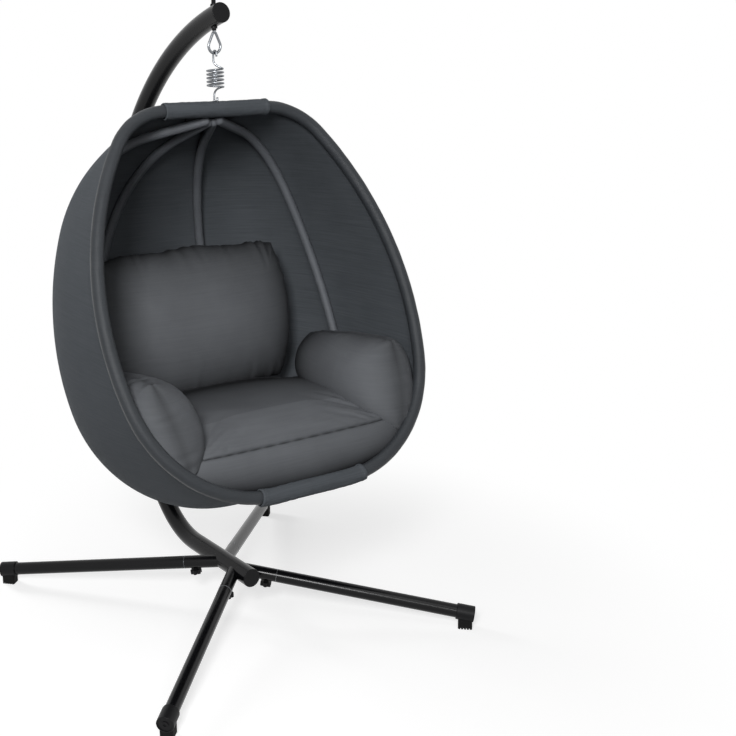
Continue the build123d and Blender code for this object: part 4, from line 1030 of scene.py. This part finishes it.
for i in range(HOOK_STEPS + 1):
    turn = math.pi * i / HOOK_STEPS
    wire.append(Vector((0, HOOK_RADIUS * math.cos(turn), HOOK_LOW - HOOK_RADIUS * math.sin(turn))))
wire.append(Vector((0, -HOOK_RADIUS, HOOK_LOW + HOOK_TIP)))
bpy.ops.object.select_all(action="DESELECT")
bpy.ops.curve.primitive_bezier_curve_add()
spring = bpy.context.object
spring.data.splines.clear()
line = spring.data.splines.new("POLY")
line.points.add(len(wire) - 1)
for point, place in zip(line.points, wire):
    point.co = (*place, 1)
spring.data.bevel_depth = WIRE_RADIUS
spring.data.bevel_resolution = 5
spring.data.use_fill_caps = True
only(spring)
bpy.ops.object.convert(target="MESH")
spring = bpy.context.object
spring.name = spring.data.name = "coil_spring"
tidy(spring)
spring.data.materials.clear()
spring.data.materials.append(FINISH["zinc_plate"])
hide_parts("hanging_spring")
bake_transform(spring)
print("spring wire points:", len(wire))

# %% [markdown]
# Where a leg goes into its socket, and where the pole halves meet, the coating stops at a bare edge that
# catches the light. The solids are loose triangles with no edge loop to colour, so a thin ring, a torus
# turned to the tube's own direction, marks each one.

# %% Bare edge rings
LEGS = {
    "front_left": (1, -0.050, -0.570),
    "front_right": (-1, -0.050, -0.570),
    "rear_left": (1, 0.015, 0.600),
    "rear_right": (-1, 0.015, 0.600),
}
LEG_ROOT_HEIGHT, LEG_END_HEIGHT, LEG_END_SIDE = 0.152, 0.045, 0.555
SOCKET_LENGTH, SOCKET_RADIUS = 0.1371, 0.02095
POLE_JOINT, POLE_RADIUS = Vector((0, 0.722, 0.95158)), 0.02995
RING_THICK = 0.0006


def edge_ring(name, place, way, radius):
    """A thin bright ring round a tube of the stand."""
    bpy.ops.object.select_all(action="DESELECT")
    turn = Vector((0, 0, 1)).rotation_difference(way).to_euler()
    bpy.ops.mesh.primitive_torus_add(
        location=place, rotation=turn, major_segments=72, minor_segments=10,
        major_radius=radius, minor_radius=RING_THICK,
    )
    ring = bpy.context.object
    ring.name = ring.data.name = name
    bpy.ops.object.transform_apply(location=True, rotation=True, scale=True)
    bpy.ops.object.shade_smooth()
    dress(ring, "zinc_plate", "zinc_plate", "stand")


for name, (side, root_y, end_y) in LEGS.items():
    root = Vector((0, root_y, LEG_ROOT_HEIGHT))
    way = (Vector((side * LEG_END_SIDE, end_y, LEG_END_HEIGHT)) - root).normalized()
    edge_ring(f"socket_edge_{name}", root + way * SOCKET_LENGTH, way, SOCKET_RADIUS)
edge_ring("pole_joint_edge", POLE_JOINT, Vector((0, 0, 1)), POLE_RADIUS)
print("bare edges:", len(LEGS) + 1)

# %% [markdown]
# The set is a pale floor. Lamps strong enough to make it white would wash the chair out, so it glows a
# little where the camera or a reflection sees it. Near the chair it still takes shadows, and further out
# it fades to plain white.

# %% Floor
FLOOR_GREY, FLOOR_GLOW = 0.5, 0.66
FADE_START, FADE_END = 0.7, 1.7


def seen_by(tree, *kinds):
    """1 for rays of the named kinds, and 0 for the rest."""
    rays = tree.nodes.new("ShaderNodeLightPath")
    seen = rays.outputs[kinds[0]]
    for kind in kinds[1:]:
        seen = maths(tree, "MAXIMUM", seen, rays.outputs[kind])
    return seen


bpy.ops.object.select_all(action="DESELECT")
bpy.ops.mesh.primitive_plane_add(size=60, location=(0, 0, 0))
floor = bpy.context.object
floor.name = floor.data.name = "studio_floor"
paper = bpy.data.materials.new("floor_paper")
paper.use_nodes = True
tree = paper.node_tree
paper_shader = tree.nodes["Principled BSDF"]
paper_shader.inputs["Base Color"].default_value = (FLOOR_GREY, FLOOR_GREY, FLOOR_GREY, 1)
paper_shader.inputs["Roughness"].default_value = 0.9
paper_shader.inputs["Specular IOR Level"].default_value = 0.0
paper_shader.inputs["Emission Color"].default_value = (1, 1, 1, 1)
seen = seen_by(tree, "Is Camera Ray", "Is Glossy Ray")
tree.links.new(maths(tree, "MULTIPLY", seen, FLOOR_GLOW), paper_shader.inputs["Emission Strength"])
glow = tree.nodes.new("ShaderNodeEmission")
tree.links.new(seen, glow.inputs["Strength"])
where = tree.nodes.new("ShaderNodeTexCoord")
distance = tree.nodes.new("ShaderNodeVectorMath")
distance.operation = "LENGTH"
tree.links.new(where.outputs["Object"], distance.inputs[0])
fade = tree.nodes.new("ShaderNodeMapRange")
fade.interpolation_type = "SMOOTHSTEP"
fade.inputs["From Min"].default_value = FADE_START
fade.inputs["From Max"].default_value = FADE_END
tree.links.new(distance.outputs["Value"], fade.inputs["Value"])
sweep = tree.nodes.new("ShaderNodeMixShader")
tree.links.new(fade.outputs["Result"], sweep.inputs[0])
tree.links.new(paper_shader.outputs[0], sweep.inputs[1])
tree.links.new(glow.outputs[0], sweep.inputs[2])
tree.links.new(sweep.outputs[0], tree.nodes["Material Output"].inputs["Surface"])
floor.data.materials.append(paper)
floor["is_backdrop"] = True
print("floor fades to white from", FADE_START, "to", FADE_END, "m")

# %% [markdown]
# The world shows white to the camera and in reflections, and lights the chair only faintly, so that the
# inside of the bowl keeps its shade.

# %% World
WORLD_LIGHT = 0.04
world = bpy.data.worlds.new("studio")
scene.world = world
world.use_nodes = True
tree = world.node_tree
tree.nodes.clear()
seen = seen_by(tree, "Is Camera Ray", "Is Glossy Ray", "Is Transmission Ray")
blend = tree.nodes.new("ShaderNodeMixShader")
tree.links.new(seen, blend.inputs[0])
for socket, strength in ((1, WORLD_LIGHT), (2, 1.0)):
    backdrop = tree.nodes.new("ShaderNodeBackground")
    backdrop.inputs["Color"].default_value = (1, 1, 1, 1)
    backdrop.inputs["Strength"].default_value = strength
    tree.links.new(backdrop.outputs[0], blend.inputs[socket])
sky = tree.nodes.new("ShaderNodeOutputWorld")
tree.links.new(blend.outputs[0], sky.inputs["Surface"])
print("world light:", WORLD_LIGHT)

# %% [markdown]
# One key lamp stands high at the left, and weaker ones fill the shade. The edge lamp stands behind the
# chair. Its mirror image would break up on the pole, so it is hidden from reflections. Each row gives
# place, target, size in metres and power in watts.

# %% Lamps
CHAIR_MIDDLE = (0, -0.1, 0.95)
NOT_MIRRORED = "edge"
LAMPS = {
    "key": ((-2.77, -3.17, 2.97), CHAIR_MIDDLE, (1.0, 1.0), 140),
    "side": ((-3.6, -2.3, 2.2), CHAIR_MIDDLE, (1.1, 1.1), 6),
    "near": ((-1.55, -4.3, 2.15), CHAIR_MIDDLE, (1.0, 1.0), 30),
    "front": ((-0.4, -2.0, 3.4), (0, -0.3, 0.75), (1.2, 1.2), 9),
    "top": ((0, 0, 4.4), (0, 0, 0), (2.0, 2.0), 7),
    "edge": ((-1.3, 3.9, 1.8), (0, 0, 0.9), (0.8, 2.0), 95),
}
for name, (place, target, size, power) in LAMPS.items():
    light = bpy.data.lights.new(name, "AREA")
    light.shape = "RECTANGLE"
    light.size, light.size_y = size
    light.energy = power
    holder = bpy.data.objects.new(name, light)
    holder.location = place
    holder.rotation_euler = (Vector(target) - Vector(place)).to_track_quat("-Z", "Y").to_euler()
    holder.visible_glossy = name != NOT_MIRRORED
    scene.collection.objects.link(holder)
print("lamps:", ", ".join(LAMPS))

# %% [markdown]
# The camera stands at the photograph's angle. Its lens and shift come from the picture's own size, taken
# as a square of 736 dots.

# %% Camera
PICTURE, SENSOR = 736, 36
AZIMUTH, PITCH, DISTANCE, FOCAL = -31.3495, 12.9303, 3.5869, 1140.59
CENTRE_X, CENTRE_Y, ROLL = 219.01, 328.91, -1.4376
LOOKED_AT = Vector((0, 0.015, 0.936))
a, e, roll = (math.radians(value) for value in (AZIMUTH, PITCH, ROLL))
outward = Vector((math.sin(a) * math.cos(e), -math.cos(a) * math.cos(e), math.sin(e)))
right = (-outward).cross(Vector((0, 0, 1))).normalized()
up = right.cross(-outward)
tilted_right = right * math.cos(roll) + up * math.sin(roll)
tilted_up = up * math.cos(roll) - right * math.sin(roll)
lens = bpy.data.cameras.new("view")
lens.sensor_fit = "HORIZONTAL"
lens.sensor_width = SENSOR
lens.lens = FOCAL / PICTURE * SENSOR
lens.shift_x = (PICTURE / 2 - CENTRE_X) / PICTURE
lens.shift_y = (CENTRE_Y - PICTURE / 2) / PICTURE
lens.clip_end = 60
camera = bpy.data.objects.new("view", lens)
turn = Matrix((tilted_right, tilted_up, outward)).transposed().to_4x4()
camera.matrix_world = Matrix.Translation(LOOKED_AT + outward * DISTANCE) @ turn
scene.collection.objects.link(camera)
scene.camera = camera
scene.view_settings.view_transform = "Standard"
print("lens", round(lens.lens, 2), "mm, shift", round(lens.shift_x, 4), round(lens.shift_y, 4))

# %% [markdown]
# The last step works out the box of the dressed pieces and prints it beside the solid model's box.
# Cloth may stand only a little proud of the solids.

# %% Sizes and finish
visual_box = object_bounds()
plain = lambda box: [[float(c) for c in corner] for corner in box]
{"cad": plain(solid_box), "visual": plain(visual_box)}
print("solid box", plain(solid_box), "dressed box", plain(visual_box))
